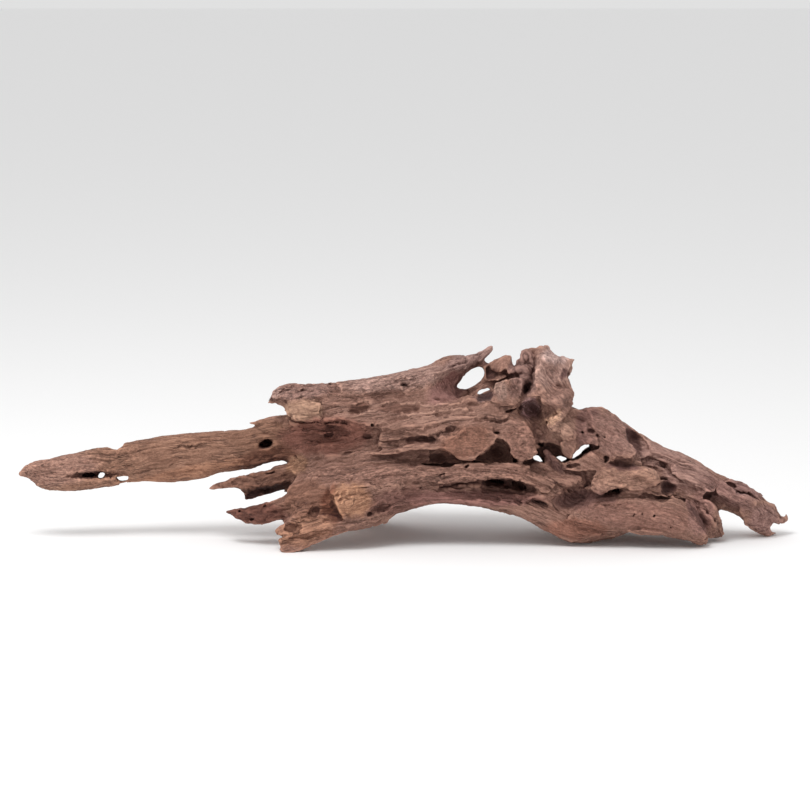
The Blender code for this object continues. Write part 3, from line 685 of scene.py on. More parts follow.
    "root_dark": ((684,499,-40, 690,501,-34, 694,505,-30, 698,514,-28, 703,524,-27, 708,532,-25, 708,538.6,-26,
        702,540,-38, 700,531,-44, 696,519,-46, 690,510,-46, 684,503,-46), (695,511,-36, 701,524,-34, 704,534,-32), 12),
    "prong_face": ((206,489.6,-4, 216,484.6,-6, 226,481,-8, 236,478,-8, 250,474.6,-10, 262,472,-12, 274,469,-12,
        284,466,-10, 291,470,-14, 292,479,-14, 280,483.6,-17, 262,487.6,-15, 244,490.4,-13, 236,487.6,-11, 222,488,-9,
        212,490.4,-6), (230,484,-10, 250,481,-15, 270,477,-17, 284,474,-17, 240,484,-13), 10),
    "prong_low_face": ((225.6,511,-20, 228,509.8,-22, 236,508.8,-25, 246,507.6,-28, 258,504.4,-31, 268,501.6,-34,
        280,498,-38, 284,508,-44, 282,519,-40, 270,522,-36, 262,523.8,-34, 254,523.6,-32, 246,521.6,-29, 238,518,-26,
        232,515,-23, 226,513,-20), (238,512,-30, 250,511,-35, 248,517,-31, 258,516,-38, 268,508,-38, 272,515,-42,
        262,511,-35), 11),
    "lobe_hollow": ((326,505,-57, 333,501.6,-57, 338,507,-58, 341.6,515,-58, 343,520,-61, 333,521.6,-64, 322,519.6,-64,
        317,515.6,-62, 321,509.6,-58), (332,510,-54, 335,516,-57, 325,515,-59), 9),
    "neck_fill": ((584,411.6,-28, 590,410,-29, 592,420,-34, 593,428,-33, 596,436.6,-34, 590,437,-34, 584,435,-34,
        581,430,-34, 583,421,-30), (588,424,-29), 9),
    "post_top": ((494,425,-39, 504,420.6,-40, 515,421,-41, 521,424,-42, 514,431,-43, 504,435,-42, 497,435,-40,
        492,431,-39), (506,427,-41), 9),
    "burl_dent": ((556,379.4,-27, 560,374,-23, 565.6,367.6,-14, 571.6,366,-6, 570,373,-8, 567,380,-14, 561,381,-24),
        (564,375,-10), 8),
    "comb_top": ((488,364,-4, 497,360.4,-8, 507,356,-10, 510.6,356.4,-10, 512,362,-12, 513,366,-14, 508,369,-16,
        500,372,-16, 495,372,-12, 491,368,-7), (504,363,-14), 9),
    "window_wall": ((486,367,-2, 490,366,-2, 497,371,-4, 503,375,-12, 508,377,-18, 500,380,-20, 494,382,-18,
        488,382,-8, 486,378,-3), (493,374.6,-3), 9),
    "comb_mid": ((506,371,-16, 512,367,-18, 520,364,-18, 527,366,-20, 530,372,-21, 526,375,-23, 516,375.4,-22,
        508,375,-20), (518,370,-24), 9),
    "low_oval": ((473,396.4,-20, 479,400.8,-30, 487,401.6,-30, 493.6,398.6,-28, 495,392,-14, 491.6,386.8,-4,
        485,386.2,-4, 477.6,390,-5), (484,395.4,-10), 9),
    "lobe_left": ((286.6,496,-43, 288,489,-40, 292,482,-35, 296,475,-27, 302,470,-22, 312,470,-34, 318,476,-42,
        316,484,-49, 310,491,-53, 300,497,-52, 291,500,-47, 286,499,-44), (301,482,-38, 304,489,-47, 308,478,-38), 10),
    "foot_slot": ((307,513,-57, 311,506,-55, 318,503.6,-55, 325,506,-54, 321,511.6,-55, 314,516.6,-59, 308,517,-60),
        (314,510.6,-49, 318,508,-49), 10),
    "beak_pocket": ((657,480,-38, 664,478.6,-32, 672,481.6,-26, 677,486,-24, 676,493,-26, 668,497,-32, 660,493,-37),
        (667,487,-15), 9),
    "lobe_fill": ((677,484,-24, 684,482.6,-25, 694,483.6,-26, 703,487,-26, 705,492,-25, 702,498,-24, 696,501,-25,
        689,499,-27, 682,497.4,-28, 677,494,-26), (690,491,-23, 684,490.6,-23), 8),
}
IN_FRONT = 60.0
FORM_BACK = 0.85
SPLINE_SCALE = 10.0
SPLINE_GIVE = 0.02
TINY = 1e-9


def spline_depth(given):
    """A thin plate spline through rows of x, d, y, as a function of rows of x, d."""
    given = np.array(given, float)
    knots, depths = given[:, :2], given[:, 2]

    def bend(rows):
        far = ((rows[:, None] - knots[None]) ** 2).sum(2) / SPLINE_SCALE**2
        return far * np.log(far + TINY)

    flat = np.column_stack((np.ones(len(knots)), knots))
    system = np.block([[bend(knots) + SPLINE_GIVE * np.eye(len(knots)), flat], [flat.T, np.zeros((3, 3))]])
    numbers = np.linalg.solve(system, np.concatenate((depths, np.zeros(3))))
    return lambda rows: bend(rows) @ numbers[:-3] + np.column_stack((np.ones(len(rows)), rows)) @ numbers[-3:]


def cut_away(piece, cutter):
    change = piece.modifiers.new("cut", "BOOLEAN")
    change.operation = "DIFFERENCE"
    change.solver = "MANIFOLD"
    change.object = cutter
    settle_modifiers(piece)
    bpy.data.objects.remove(cutter)


fills, fronts = [], []
for name, (outline, inner, thickness) in FORMS.items():
    face = spline_depth(places(outline + inner, 3))
    spots, faces = torn_outline([p[:2] for p in places(outline, 3)], random)
    depth = face(spots)
    fills.append(slab(name, spots, faces, depth, depth + thickness, FORM_BACK))
    fronts.append(slab(name + " front", spots, faces, depth - IN_FRONT, depth, 1.0))
join_into(fronts[0], *fronts[1:])
remesh(fronts[0], CARVE_VOXEL)
cut_away(wood, fronts[0])
join_into(wood, *fills)
remesh(wood, CARVE_VOXEL)
say(wood, "wood with its forms")

# %% [markdown]
# ## Light from one side
# Two later steps have to know what the skin can see: the carving marks only what the front shows,
# and the material paints shade over what is hidden deep in hollows. This tree sends a ray from every
# point in each given direction and stores the share of rays that get away.

# %% The tree that looks around
RAY_START = 0.0004
WHOLE_SCENE = 1.0
AIR_REACH = 0.022


def ray_tree(name, directions, attribute):
    tree, given = start_tree(name, {"Reach": AIR_REACH})
    normal = tree.nodes.new("GeometryNodeInputNormal").outputs[0]
    place = tree.nodes.new("GeometryNodeInputPosition").outputs[0]
    start = vector_maths(tree, "ADD", place, vector_maths(tree, "SCALE", normal, RAY_START))
    free, weight = 0.0, 0.0
    for direction in directions:
        ray = add_node(
            tree, "GeometryNodeRaycast",
            {"Target Geometry": given.outputs["Geometry"], "Source Position": start,
             "Ray Direction": tuple(direction), "Ray Length": given.outputs["Reach"]},
        )
        facing = maths(tree, "MAXIMUM", vector_maths(tree, "DOT_PRODUCT", normal, tuple(direction)), 0.0)
        missed = maths(tree, "SUBTRACT", 1.0, ray.outputs["Is Hit"])
        free = add_times(tree, facing, missed, free)
        weight = maths(tree, "ADD", weight, facing)
    share = maths(tree, "DIVIDE", free, maths(tree, "MAXIMUM", weight, 1e-4))
    end_tree(tree, stored(tree, given.outputs["Geometry"], attribute, share))
    return tree


front_tree = ray_tree("what the front shows", [TO_CAMERA], "seen")
run_tree(wood, front_tree, {"Reach": WHOLE_SCENE})
print("share of the skin that the front shows:", round(float(attribute_of(wood, "seen").mean()), 3))

# %% [markdown]
# ## Carving along marks
# Waves, sand and rot cut the wood along its strands. A mark is a path on the sheet with a
# half-width and a depth at each station. A gouge is a round channel with crisp edges, a crest
# is a sharp ridge, and a ledge is a cliff: the wood on its upper side stands proud, and below the
# line it is cut back. Every mark moves points in y alone, so it stays where the sheet has it.

# %% The carving
SEEN_LEAST = 0.02
TEAR_WAVES = ((23, 1.0), (9, 0.7), (4.4, 0.45), (2.8, 0.25))
TEAR_SEED = 5


def smooth_path(stations, pieces=6):
    """Rows between the given ones on a Catmull-Rom curve."""
    rows = np.array([stations[0], *stations, stations[-1]], float)
    t = np.linspace(0, 1, pieces, endpoint=False)[:, None]
    parts = []
    for a, b, c, d in zip(rows, rows[1:], rows[2:], rows[3:]):
        square, cube = 2 * a - 5 * b + 4 * c - d, 3 * b - a - 3 * c + d
        parts.append(0.5 * (2 * b + (c - a) * t + square * t**2 + cube * t**3))
    return np.concatenate([*parts, rows[-1:]])


def near_path(path, x, d):
    """Distance from the path, its side (1 is below a path that runs right), and its half-width and depth."""
    distance = np.full(len(x), 1e9)
    side = np.zeros(len(x))
    own = np.zeros((len(x), 2))
    for a, b in zip(path, path[1:]):
        run = b[:2] - a[:2]
        t = np.clip(((x - a[0]) * run[0] + (d - a[1]) * run[1]) / max(run @ run, TINY), 0, 1)
        out_x, out_d = x - a[0] - t * run[0], d - a[1] - t * run[1]
        far = np.hypot(out_x, out_d)
        nearer = far < distance
        distance[nearer] = far[nearer]
        side[nearer] = np.sign(run[0] * out_d - run[1] * out_x)[nearer]
        own[nearer] = (a[2:4] + t[:, None] * (b[2:4] - a[2:4]))[nearer]
    return distance, side, own


def gouge(t, side):
    """A round channel. Here and below, t is the share of the half-width away from the path."""
    return np.clip(1 - t * t, 0, None)


def crest(t, side):
    """A sharp ridge."""
    return -np.clip(1 - t, 0, None) ** 1.3


def ledge(t, side):
    """A cliff, proud above its line and cut back below it."""
    proud = -np.clip(1 - t, 0, None) ** 1.5
    cut = np.clip(1 - t / 0.8, 0, None) ** 1.2
    return np.where(side < 0, 0.5 * proud, cut)


def torn(x, d):
    """The same places on the sheet, shifted by small waves, so that marks get torn edges."""
    random = np.random.default_rng(TEAR_SEED)
    shifted = [x.copy(), d.copy()]
    for length, amount in TEAR_WAVES:
        for row in shifted:
            for _ in range(2):
                turn, start = random.uniform(0, 2 * math.pi, 2)
                way = x * math.cos(turn) + d * math.sin(turn)
                row += amount * np.sin(way * 2 * math.pi / length + start) / 1.4
    return shifted


def carve(sheet, seen, marks, profile):
    """Moves the seen points of the sheet in y along the marks."""
    x, d = torn(sheet[:, 0], sheet[:, 1])
    for numbers in marks.values():
        first, *between, last = places(numbers, 4)
        path = smooth_path([(*first[:3], 0), *between, (*last[:3], 0)])
        reach = path[:, 2].max()
        low, high = path[:, :2].min(0) - reach, path[:, :2].max(0) + reach
        near = np.flatnonzero((seen > SEEN_LEAST) & (x > low[0]) & (x < high[0]) & (d > low[1]) & (d < high[1]))
        distance, side, own = near_path(path, x[near], d[near])
        moved = profile(distance / np.maximum(own[:, 0], 0.1), side) * own[:, 1]
        sheet[near, 2] += moved * seen[near]


# %% [markdown]
# ### The marks
# Each mark is named for where it lies. The numbers are x and d on the sheet, the half-width and the
# depth of each station. A mark runs out at both ends, so the first and last depth count as 0.

# %% Marks
GOUGES = {
    # The long arm.
    "arm_wedge": (60,477.5,1.2,1, 72,476.5,2.4,4, 84,475.5,3.6,8, 94,475,4.4,9, 106,474,4,6, 120,473.5,3.2,4,
        132,475,2,2),
    "arm_line_1": (62,470,0.9,0, 76,465.5,1.1,1.2, 92,461,0.9,0),
    "arm_line_2": (70,472,0.9,0, 88,467,1.1,1.2, 100,464,0.9,0),
    "arm_line_3": (96,456,1.6,0, 102,455,2.4,1.6, 112,452,1.6,0),
    "arm_crack_1": (128,445,0.9,0, 140,443,1.1,2.4, 154,440,0.9,0),
    "arm_crack_2": (126,452,0.9,0, 145,448.5,1.1,2.4, 168,443.5,0.9,0),
    "arm_crack_3": (158,451,0.9,0, 180,448,1.2,2.2, 196,445.5,1.4,3.5, 208,446,0.9,0),
    "arm_crack_4": (218,438,0.9,0, 232,434.5,1.1,2, 252,432.5,0.9,0),
    "arm_crack_5": (150,473,0.9,0, 170,470,1.1,1.6, 196,463,0.9,0),
    "arm_crack_6": (212,457,0.9,0, 232,455,1.2,1.8, 250,457,0.9,0),
    "arm_root_crack": (238,461,1,0, 256,459,1.4,4, 268,457,1.6,5, 276,455.6,1,0),
    # The top block and the flake under it.
    "block_crack_1": (273,394,1.6,3, 284,391,2.2,7, 297,385.6,1.6,3),
    "block_crack_2": (291,396.4,1.6,3, 301,393,2.2,7, 306,391,2,7, 309.6,385.4,1.4,2),
    "block_under": (266,401,2,2, 280,401,2.6,4, 296,402,2,0),
    "top_shade": (346,397,4,0, 372,395,5.5,2.6, 398,394,5,2.4, 416,397,3,0),
    "flake_line_1": (322,407,0.9,2, 334,406,1.2,2, 350,406,0.8,0),
    "flake_line_2": (322,411,0.9,2, 334,410.5,1.2,2, 348,410,0.8,0),
    "flake_line_3": (322,415,0.9,2, 334,414.5,1.2,1.6, 346,414,0.8,0),
    "flake_hollow": (348,415,3,0, 356,411,4,3, 366,409,3.4,2, 380,408,2,0),
    "slab_hollow": (382,408,3.4,1, 404,408.5,4.4,2.6, 416,409,3.4,2.6, 421,410,2,0),
    "slab_crack": (357,428.5,1,1, 366,427.4,1.8,6, 377,427.4,1.4,5, 382,428,1,0),
    "slab_crack_spur": (371,428,1.2,5, 372.5,424,1.6,6, 377,423,0.9,1),
    "slab_band": (384,420,2.4,0, 400,418.6,3,2.4, 416,419,2,0),
    "slab_line": (468,419.5,1.2,0, 486,420,2,2.4, 500,419.6,2.2,3, 508,420,1,0),
    "slab_line_left": (424,416,1.2,0, 444,414,1.6,1.6, 470,414,1.2,0),
    "valley_groove": (296,426,3,0, 316,427,5,3, 340,429,5,3, 366,432,4,2, 376,436,2,0),
    "valley_line": (298,460,1.2,0, 320,459,1.4,1.6, 342,458,1.2,0),
    "valley_line_low": (300,452,2,0, 330,448,3,1.6, 362,447,2,0),
    "blade_hollow": (404,438,3,1, 420,438.6,4,4.5, 434,439.4,3,4, 442,440,1.4,0),
    "plate_hollow": (441,434,2.4,1, 449,431,4.4,4, 459,428,3,1),
    "long_recess": (372,458,3,1, 396,457,5,2, 420,457,6,3, 440,457,7,4, 456,457,3.4,2),
    # The bowl.
    "bowl_floor": (434,388,10,3, 448,384,14,7, 462,380,12,8, 480,371,8,5, 494,367,5,2),
    "bowl_deep": (456,388,3,1, 460,394,5,4, 467,395,4,4, 474,391,2,1),
    "fin_line": (497,378,1,0, 508,376,1.4,4, 518,374.6,1.6,4, 526,374,1,0),
    # The waist, the arch and the crescent hollow.
    "waist_line_1": (330,466,1,0, 352,468,1.3,1.4, 380,468,1,0),
    "waist_line_2": (450,471,1,0, 480,470,1.3,1.4, 512,471,1,0),
    "waist_line_3": (506,472,1,0, 524,472.4,1.5,2.4, 540,475,1,0),
    "crescent_left": (438,492,2,0, 442,486.5,3,4, 452,484,4,5, 464,482.4,4,5, 486,481,3,6),
    "crescent_deep": (478,482,3,4, 490,481,5,12, 503,482,5,12, 518,485,5.4,9, 532,490,4,5, 538,493,1.4,0),
    "crescent_floor": (446,493,6,1, 468,493,8,3, 496,492,8,4, 524,494,6,2),
    "arch_notch": (366,513,2.6,5, 378,509,4,5, 391,501,3.4,4, 402,496,2,1),
    "arch_line_1": (384,508,1,0, 402,502,1.3,1.6, 430,499,1,0),
    "arch_line_2": (540,506,1,0, 560,512,1.6,1.6, 584,514,1,0),
    "bay_line": (556,486,2,1, 572,487,3,5, 586,485,3,5, 593,483,1.6,1),
    "block_scratch": (560,522,0.9,1, 568,523.5,1.1,2, 577,525.6,0.9,0),
    # The lobe, the worn flake and the foot.
    "flake_crack": (338,484,1,1, 346,483.6,1.4,4, 354,484,0.9,0),
    "red_crack_1": (372,479,1,0, 380,483,1.5,4, 388,487,1.4,4, 396,488,0.8,0),
    "red_crack_2": (376,486,0.9,1, 385,488.6,1.3,3, 394,489,0.8,0),
    "flake_shade": (326,493,3,2, 332,502,4.4,4, 338,512,4,4, 342,519,2,1),
    "foot_shade": (305,517,3,0, 318,513,4.4,3, 330,510,5,3, 338,516,3,1),
    "foot_groove": (286,538,1.6,0, 298,534,2,2, 316,530,2,1.6, 344,525,1.4,0),
    "foot_nick_1": (274,537,1.6,4, 282,536.6,1.4,4, 288,536,0.9,0),
    "foot_nick_2": (276,546,1.4,3, 281,545.6,1.1,2, 286,545,0.9,0),
    "prong_pit": (246,517,2.4,1, 251,519,3,4, 256,519,2,2),
    "prong_line_1": (258,512,1.2,0, 266,507,2,3, 275,505,1.4,0),
    "prong_line_2": (262,519,1.2,0, 270,515,1.8,3, 282,513,1.4,0),
    "upper_prong_line": (216,488,0.9,0, 234,484,1.3,2, 252,480,0.9,0),
    # The crown.
    "crown_groove": (533,350,2,3, 534,360,2.6,6, 532,370,2.6,6, 531,380,2.6,5, 529,386,2,4),
    "comb_line": (519,366,0.9,1, 525,364.6,1.4,4, 531,366,0.9,1),
    "burl_line": (541,398,1,0, 549,397.6,1.4,2, 560,397.4,1,0),
    "neck_slit": (592,434,1,3, 596,437,1.3,5, 597.6,443,1.2,5, 598,450,0.9,1),
    "window_shade": (586,449,3,3, 592,451,4,4, 599,456,3,1.6, 603,460,2,0),
    # The crest and its plates.
    "plate_under": (600,459,2,2, 612,461.6,3,4, 626,461,3,4, 640,464,2,1),
    "crest_crack_1": (648,460,1,0, 660,463,1.4,3, 671,471,1.2,2, 675,476,0.8,0),
    "crest_crack_2": (640,464,1,0, 652,467,1.4,2.4, 664,476,1,1),
    "crest_line_1": (640,446,1,0, 656,455,1.6,1.8, 676,463,1,0),
    "crest_line_2": (676,468,1,0, 692,476,1.4,1.6, 708,486,1,0),
    "beak_under": (596,495,2,1, 608,492,3.4,6, 618,489,4,8, 624,490,2,3),
    "block_gap": (624,496,2,1, 642,496,2.8,5, 660,499,2.6,7, 678,496,2,3),
    # The root on the right and the two tips.
    "root_groove_1": (682,497,2,1, 688,502,2.4,2.4, 694,512,2.4,2.4, 700,524,2,1),
    "root_groove_3": (700,502,1.2,0, 708,512,1.8,2, 711,524,1.2,0),
    "root_curl": (689,490,1,2, 693,488.4,1.2,3, 697,491,1.2,3, 694,495,1,1),
    "root_shade": (714,490,2,2, 719,498,4,3, 730,504,5,3, 742,512,4,1),
    "ridge_line": (718,484,1,0, 730,493,1.5,2, 746,500,1,0),
    "log_crack": (733,490,1,1, 744,494,1.6,4, 757,500,1,1),
    "tip_line_1": (744,506,1,0, 752,515,1.8,3, 758,526,1,1),
    "tip_line_2": (760,506,1,0, 768,512,1.5,2, 776,516,1,0),
    "tip_line_3": (760,530,1,0, 766,527,1.5,3, 771,531,1,1),
    "burl_low_line": (541,393.6,1,0, 549,393,1.2,2, 557,393.4,1,0),
    "knuckle_split": (557.4,423,0.9,1, 556.6,428,1.2,4, 556,434,0.9,2),
    "slab_split": (472,420,0.9,1, 488,419.6,1.4,4, 507,421.4,0.9,1),
    "foot_lip": (280,537,1.6,4, 286,536.2,1.4,4, 292,534.6,1,1),
    "log_line": (726,485.6,1.2,1, 736,489.8,1.6,4, 748,494.8,1.5,4, 761,500,1.2,1),
    "beak_dent_1": (629,479,2.6,1, 634,478,3.4,2.6, 641,477.6,2.4,1),
    "beak_dent_2": (604,476,2.4,1, 611,473.4,3.4,2.4, 618,473,2.4,1),
    "beak_line": (600,487,0.9,1, 612,481.6,1.3,2.4, 626,482,0.9,1),
    "block_line_1": (586,508,1.0,1, 600,504.5,1.4,3, 620,505,1.4,3, 641,502.6,1.0,1),
    "block_line_2": (604,511.4,1.0,1, 628,508.8,1.2,2.4, 651,509,0.9,1),
    "block_line_3": (560,516.4,1.0,1, 590,517,1.2,2, 617,518.8,0.9,1),
    "block_line_4": (640,522,0.9,1, 660,523,1.2,2, 684,527.4,0.9,1),
    "heel_line": (560,531,0.9,1, 580,529,1.3,2.4, 604,527.6,0.9,1),
    "post_dent_1": (514,436,2,1, 518,434,2.8,2.4, 523,432,2,1),
    "post_dent_2": (516,446,2,1, 521,444.6,2.8,2.4, 527,445,2,1),
    "crest_dent_1": (604,424,2.6,1, 610,432,3.4,2.4, 611,441,2.4,1),
    "crest_dent_2": (617,446,2,1, 619,452,2.8,2.4, 616,457,2,1),
    "comb_cut_1": (507,392,1.0,0.6, 514,386.6,1.4,2, 521,382,1.0,0.6),
    "comb_cut_2": (508,398,1.0,0.6, 515,391.6,1.4,2, 521,387.6,1.0,0.6),
}

CRESTS = {
    "bowl_left_edge": (424,398,3,0, 426,386,4,1.6, 434,375,4,1, 446,369,3,0),
    "bowl_bar": (464,401,3,1, 472,394,4,3, 480,386,4,3, 487,379,3,1),
    "fold": (438,441,3,0, 446,438.6,4,2, 456,435,4,3, 463,430,4,3, 467,423,3,0),
    "slab_crest": (376,429,3,0, 400,426.6,4,1.6, 424,426,4,1.8, 448,420,3,0),
    "waist_crest": (392,470,4,0, 424,471,5,1.4, 470,474,5,1.4, 510,475,4,0),
    "arm_light": (190,449,3,0, 206,446.4,3.4,0.9, 226,445,3,0),
    "arm_chip": (94,469,2,0, 98,467.6,2.6,1.6, 104,464.6,2,0),
    "plate_lip": (452,456,3,1, 462,459,3.4,2, 474,457,3.4,2, 483,450,3,2, 492,441,3,1),
    "crest_rim": (596,410,3,0, 612,420,4,1, 626,430,3,1, 642,442,3,0),
    "worn_top": (338,490,3,1, 352,487,4,2, 366,486,4,1.6, 376,488,3,0),
    "root_bump": (704,508,4,0, 710,516,5,2, 712,526,4,1),
    "ridge_light": (720,489,4,0, 734,498,5,2, 750,506,4,1),
    "beak_rim": (634,465.6,2,0.6, 643,466.6,2.2,1.8, 651,471,2.2,1.8, 657,477,2,0.8),
    "burl_top_rim": (538,357.6,1.8,0.6, 550,357.4,2.2,1.8, 562,358.6,2.2,1.8, 573,360,1.6,0.6),
    "burl_left_rim": (536,364,1.6,0.6, 535,376,2.2,2, 533,388,2.2,2, 527,395.6,1.6,0.6),
    "plate_rim": (625,438,1.6,0.6, 629,445,2,1.6, 632.4,452,2,1.6, 631,457,1.6,0.6),
}

LEDGES = {
    "top_strand": (418,379,4,0, 432,374,5,1.6, 446,369,5,1.6, 460,364.6,5,1.4, 476,362,3,0),
    "light_patch": (360,387,3,0, 366,391,3.4,1.8, 378,392.4,3,1.4, 386,389,2,0),
    "flake_low": (288,415,4,1, 295,420.6,5,4, 312,421,5.4,4.5, 334,420.4,5,4, 352,424,4,3),
    "flake_break": (322.6,420,4,1, 321.4,412,5,3.4, 321,404,4,1),
    "slab_low": (350,424.4,4,2, 366,426,4,3, 384,428,4,1),
    "slab_left": (378,424,4,1, 380,432,5,3.4, 379.6,441,5,3, 374,447,3,0),
    "blade": (394,431,3,0, 406,433.6,4,2, 420,436.4,5,4, 434,434.4,5,4, 444,429.6,4,2, 452,427,3,0),
    "bowl_low_rim": (478,392,3,1, 470,398,5,4, 459,401.6,5,5, 446,403,5,5, 436,401,5,4, 428,396,4,0),
    "light_band": (424,411,3,0, 440,411,3.4,1.8, 466,410,3.4,1.8, 480,409,3,0),
    "worn_left": (331,483,3,1, 330,491,5,4, 336,500,6,5, 339,509,6,5, 344,519,5,2),
    "worn_step": (336,498,2.6,0, 346,496.6,3,1.2, 368,497,2.6,0),
    "prong_edge": (206,491,3,0, 240,487,5,2, 254,489,8,5, 270,486.6,7,5, 288,481,4,2),
    "waist_low": (534,494,3,1, 541,490.6,4,3, 552,489,4,4, 557,485,4,3, 572,484,3,2),
    "crescent_rim": (440,486,3,1, 452,482,4,3, 464,479.6,4,4, 484,477.6,4,5, 502,477,4,5, 518,479.6,4,5, 530,485,4,4,
        538,491,3,1),
    "top_bevel": (374,386,3,1, 392,381.4,3.4,2.4, 412,378.2,3.4,2.4, 432,374.4,3,1.6),
    "burl_step": (534,380.6,2.4,1, 546,382,3.2,2.6, 558,384,3.2,2.6, 568,386,2.4,1),
    "dish_top": (378,404.6,3,0, 390,403.4,4,3, 406,403.2,4,3.4, 417,404.6,4,2.6, 422,408,3,0),
    "flake_top": (350,408,3,0, 356,403.8,4,3, 366,402.8,4,3.4, 374,405.6,3,1),
}

sheet = to_sheet(points_of(wood))
seen = calmed(wood, attribute_of(wood, "seen"), 2)
for marks, profile in ((GOUGES, gouge), (CRESTS, crest), (LEDGES, ledge)):
    carve(sheet, seen, marks, profile)
set_points(wood, to_part(sheet))
print("marks:", len(GOUGES) + len(CRESTS) + len(LEDGES))

# %% [markdown]
# ## Knot holes, bores and windows
# Dark holes have to be real holes, with walls that go in. Each one is a tube that starts in front
# of the skin and runs into it, so a ray from the camera finds the skin first. The tubes grow from
# the strand tree too, are remeshed into one cutter, and a Boolean takes them out of the wood.
# Windows and the bays between torn ends are outlines with torn edges, cut right through along the
# line of sight. A last tree leaves out any crumb that a cut has set free.

# %% Holes
HOLES = {
    # Each row: x, d, half-length, half-width, slope, depth, and how far the hole leans right and down.
    # Knot holes and rotted pockets.
    "arm_knot": (266.5,445.6,9.6,5.2,12,10,-2,0),
    "arm_wedge": (88,475.4,7,2.8,4,14,0,-1),
    "top_knot": (404.2,385.6,5.6,2.7,2,14,0,0),
    "prong_slot": (270,473,7.6,1.4,10,5,0,0),
    "strand_pit_1": (510,410,6.6,2.0,16,9,1,-1),
    "strand_pit_2": (522,408,4,2.4,10,4,0,-1),
    "crown_hole": (526.6,388.6,7,3.4,62,14,0,-1),
    "small_knot": (495.6,432.4,4.4,1.5,14,12,0,0),
    "lip_pit_1": (415,466,7,1.7,4,8,0,-2),
    "lip_pit_2": (466,466,6,1.5,8,9,0,-2),
    "lip_slit": (446,463.4,5,1.1,4,8,0,-1),
    "waist_pit_1": (388,472.4,2.8,1.7,0,3.4,0,-1),
    "waist_pit_2": (416,474.4,3.4,1.2,12,4,0,0),
    "waist_pit_3": (440.6,474,6.4,1.5,8,5,0,-1),
    "waist_pit_4": (420,487.4,2.4,1.7,10,4,0,0),
    "crescent_hole": (496,481,9.6,2.9,-4,22,0,-2),
    "crescent_slot": (519,485.4,9,2.1,-24,14,0,-2),
    "dimple_1": (497,499.6,5.4,1.9,-4,5,0,-2),
    "dimple_2": (517,502,6.4,1.8,-24,5,0,-2),
    "notch_pit": (369,513,3.2,2.2,20,8,2,0),
    "valley_pit_1": (332,425.6,6,1.6,2,6,0,-1),
    "valley_pit_2": (329,434.6,6,1.8,26,7,0,-1),
    "valley_pit_3": (311,441,5,1.1,22,4,0,-1),
    "slab_pit_1": (360,409,2.2,1.5,0,6,0,0),
    "slab_pit_2": (371,407,1.6,1.1,0,4,0,0),
    "slab_pit_3": (372.6,425.6,2.4,1.8,30,9,0,0),
    "gallery_hole": (541,444,6.6,4.2,0,26,-1,1),
    "gallery_slit": (552.6,447.4,4.6,1.3,4,9,0,0),
    "under_window": (527,463,6,3.2,-14,16,0,0),
    "under_window_right": (572,465,8.6,2.2,4,5,0,0),
    "post_pit": (520,455.4,3,2.2,0,4,0,0),
    "neck_pocket": (590,431.4,5.2,2.0,-24,5,0,0),
    "plate_slit": (603.6,436.8,2.8,1.0,-32,6,0,0),
    "beak_slot": (616.6,490.4,7,2.6,12,16,0,-2),
    "beak_left_slot": (584,486,7,1.7,8,12,0,-2),
    "block_gap": (661,498,9,1.7,-6,12,0,0),
    "block_pit": (652,514.6,2.9,2.0,10,7,0,0),
    "block_edge_pit": (619,531,2,1.4,0,6,0,0),
    "root_pocket": (709,495,6,3.4,24,5,0,0),
    "log_gap": (732.4,485.4,7.6,2.2,-30,6,0,0),
    "tip_pit": (765,531.6,2,1.4,0,6,0,0),
    "burl_pit": (543,351.6,1.6,1.2,0,4,0,0),
    "top_nick": (407.4,371.6,2,1.0,6,12,0,0),
    "prong_pit_1": (252,518,4,2.6,20,8,1,-1),
    "prong_pit_2": (266,506,3.4,2.2,20,6,0,0),
    "prong_pit_3": (275,511,4,1.6,10,5,0,0),
    "prong_pit_4": (240,511,3,1.6,-10,5,0,0),
    "prong_line_1": (262,480,12,0.9,10,4,0,-1),
    "prong_line_2": (242,485.6,7,0.8,4,3,0,-1),
    "block_slit": (568,524,9,0.8,-16,6,0,-1),
    "root_pit": (704,522,3.6,1.4,-70,3,0,0),
    "root_pit_2": (714,520,2.6,1.4,-60,5,0,0),
    "worm_1": (632,514,2.6,1.1,70,5,0,0),
    "worm_2": (636,513.4,2.4,1.0,75,5,0,0),
    "worm_3": (640,513.4,2.4,1.1,100,5,0,0),
    "worm_4": (659.6,519.6,2.2,1.2,10,4,0,0),
    "worm_5": (665,517.6,1.8,1.3,0,4,0,0),
    "worm_6": (670,520.6,2.2,1.2,20,5,0,0),
    "worm_7": (662.6,524,1.9,1.2,0,4,0,0),
    "worm_8": (668,526,2.2,1.2,0,5,0,0),
}


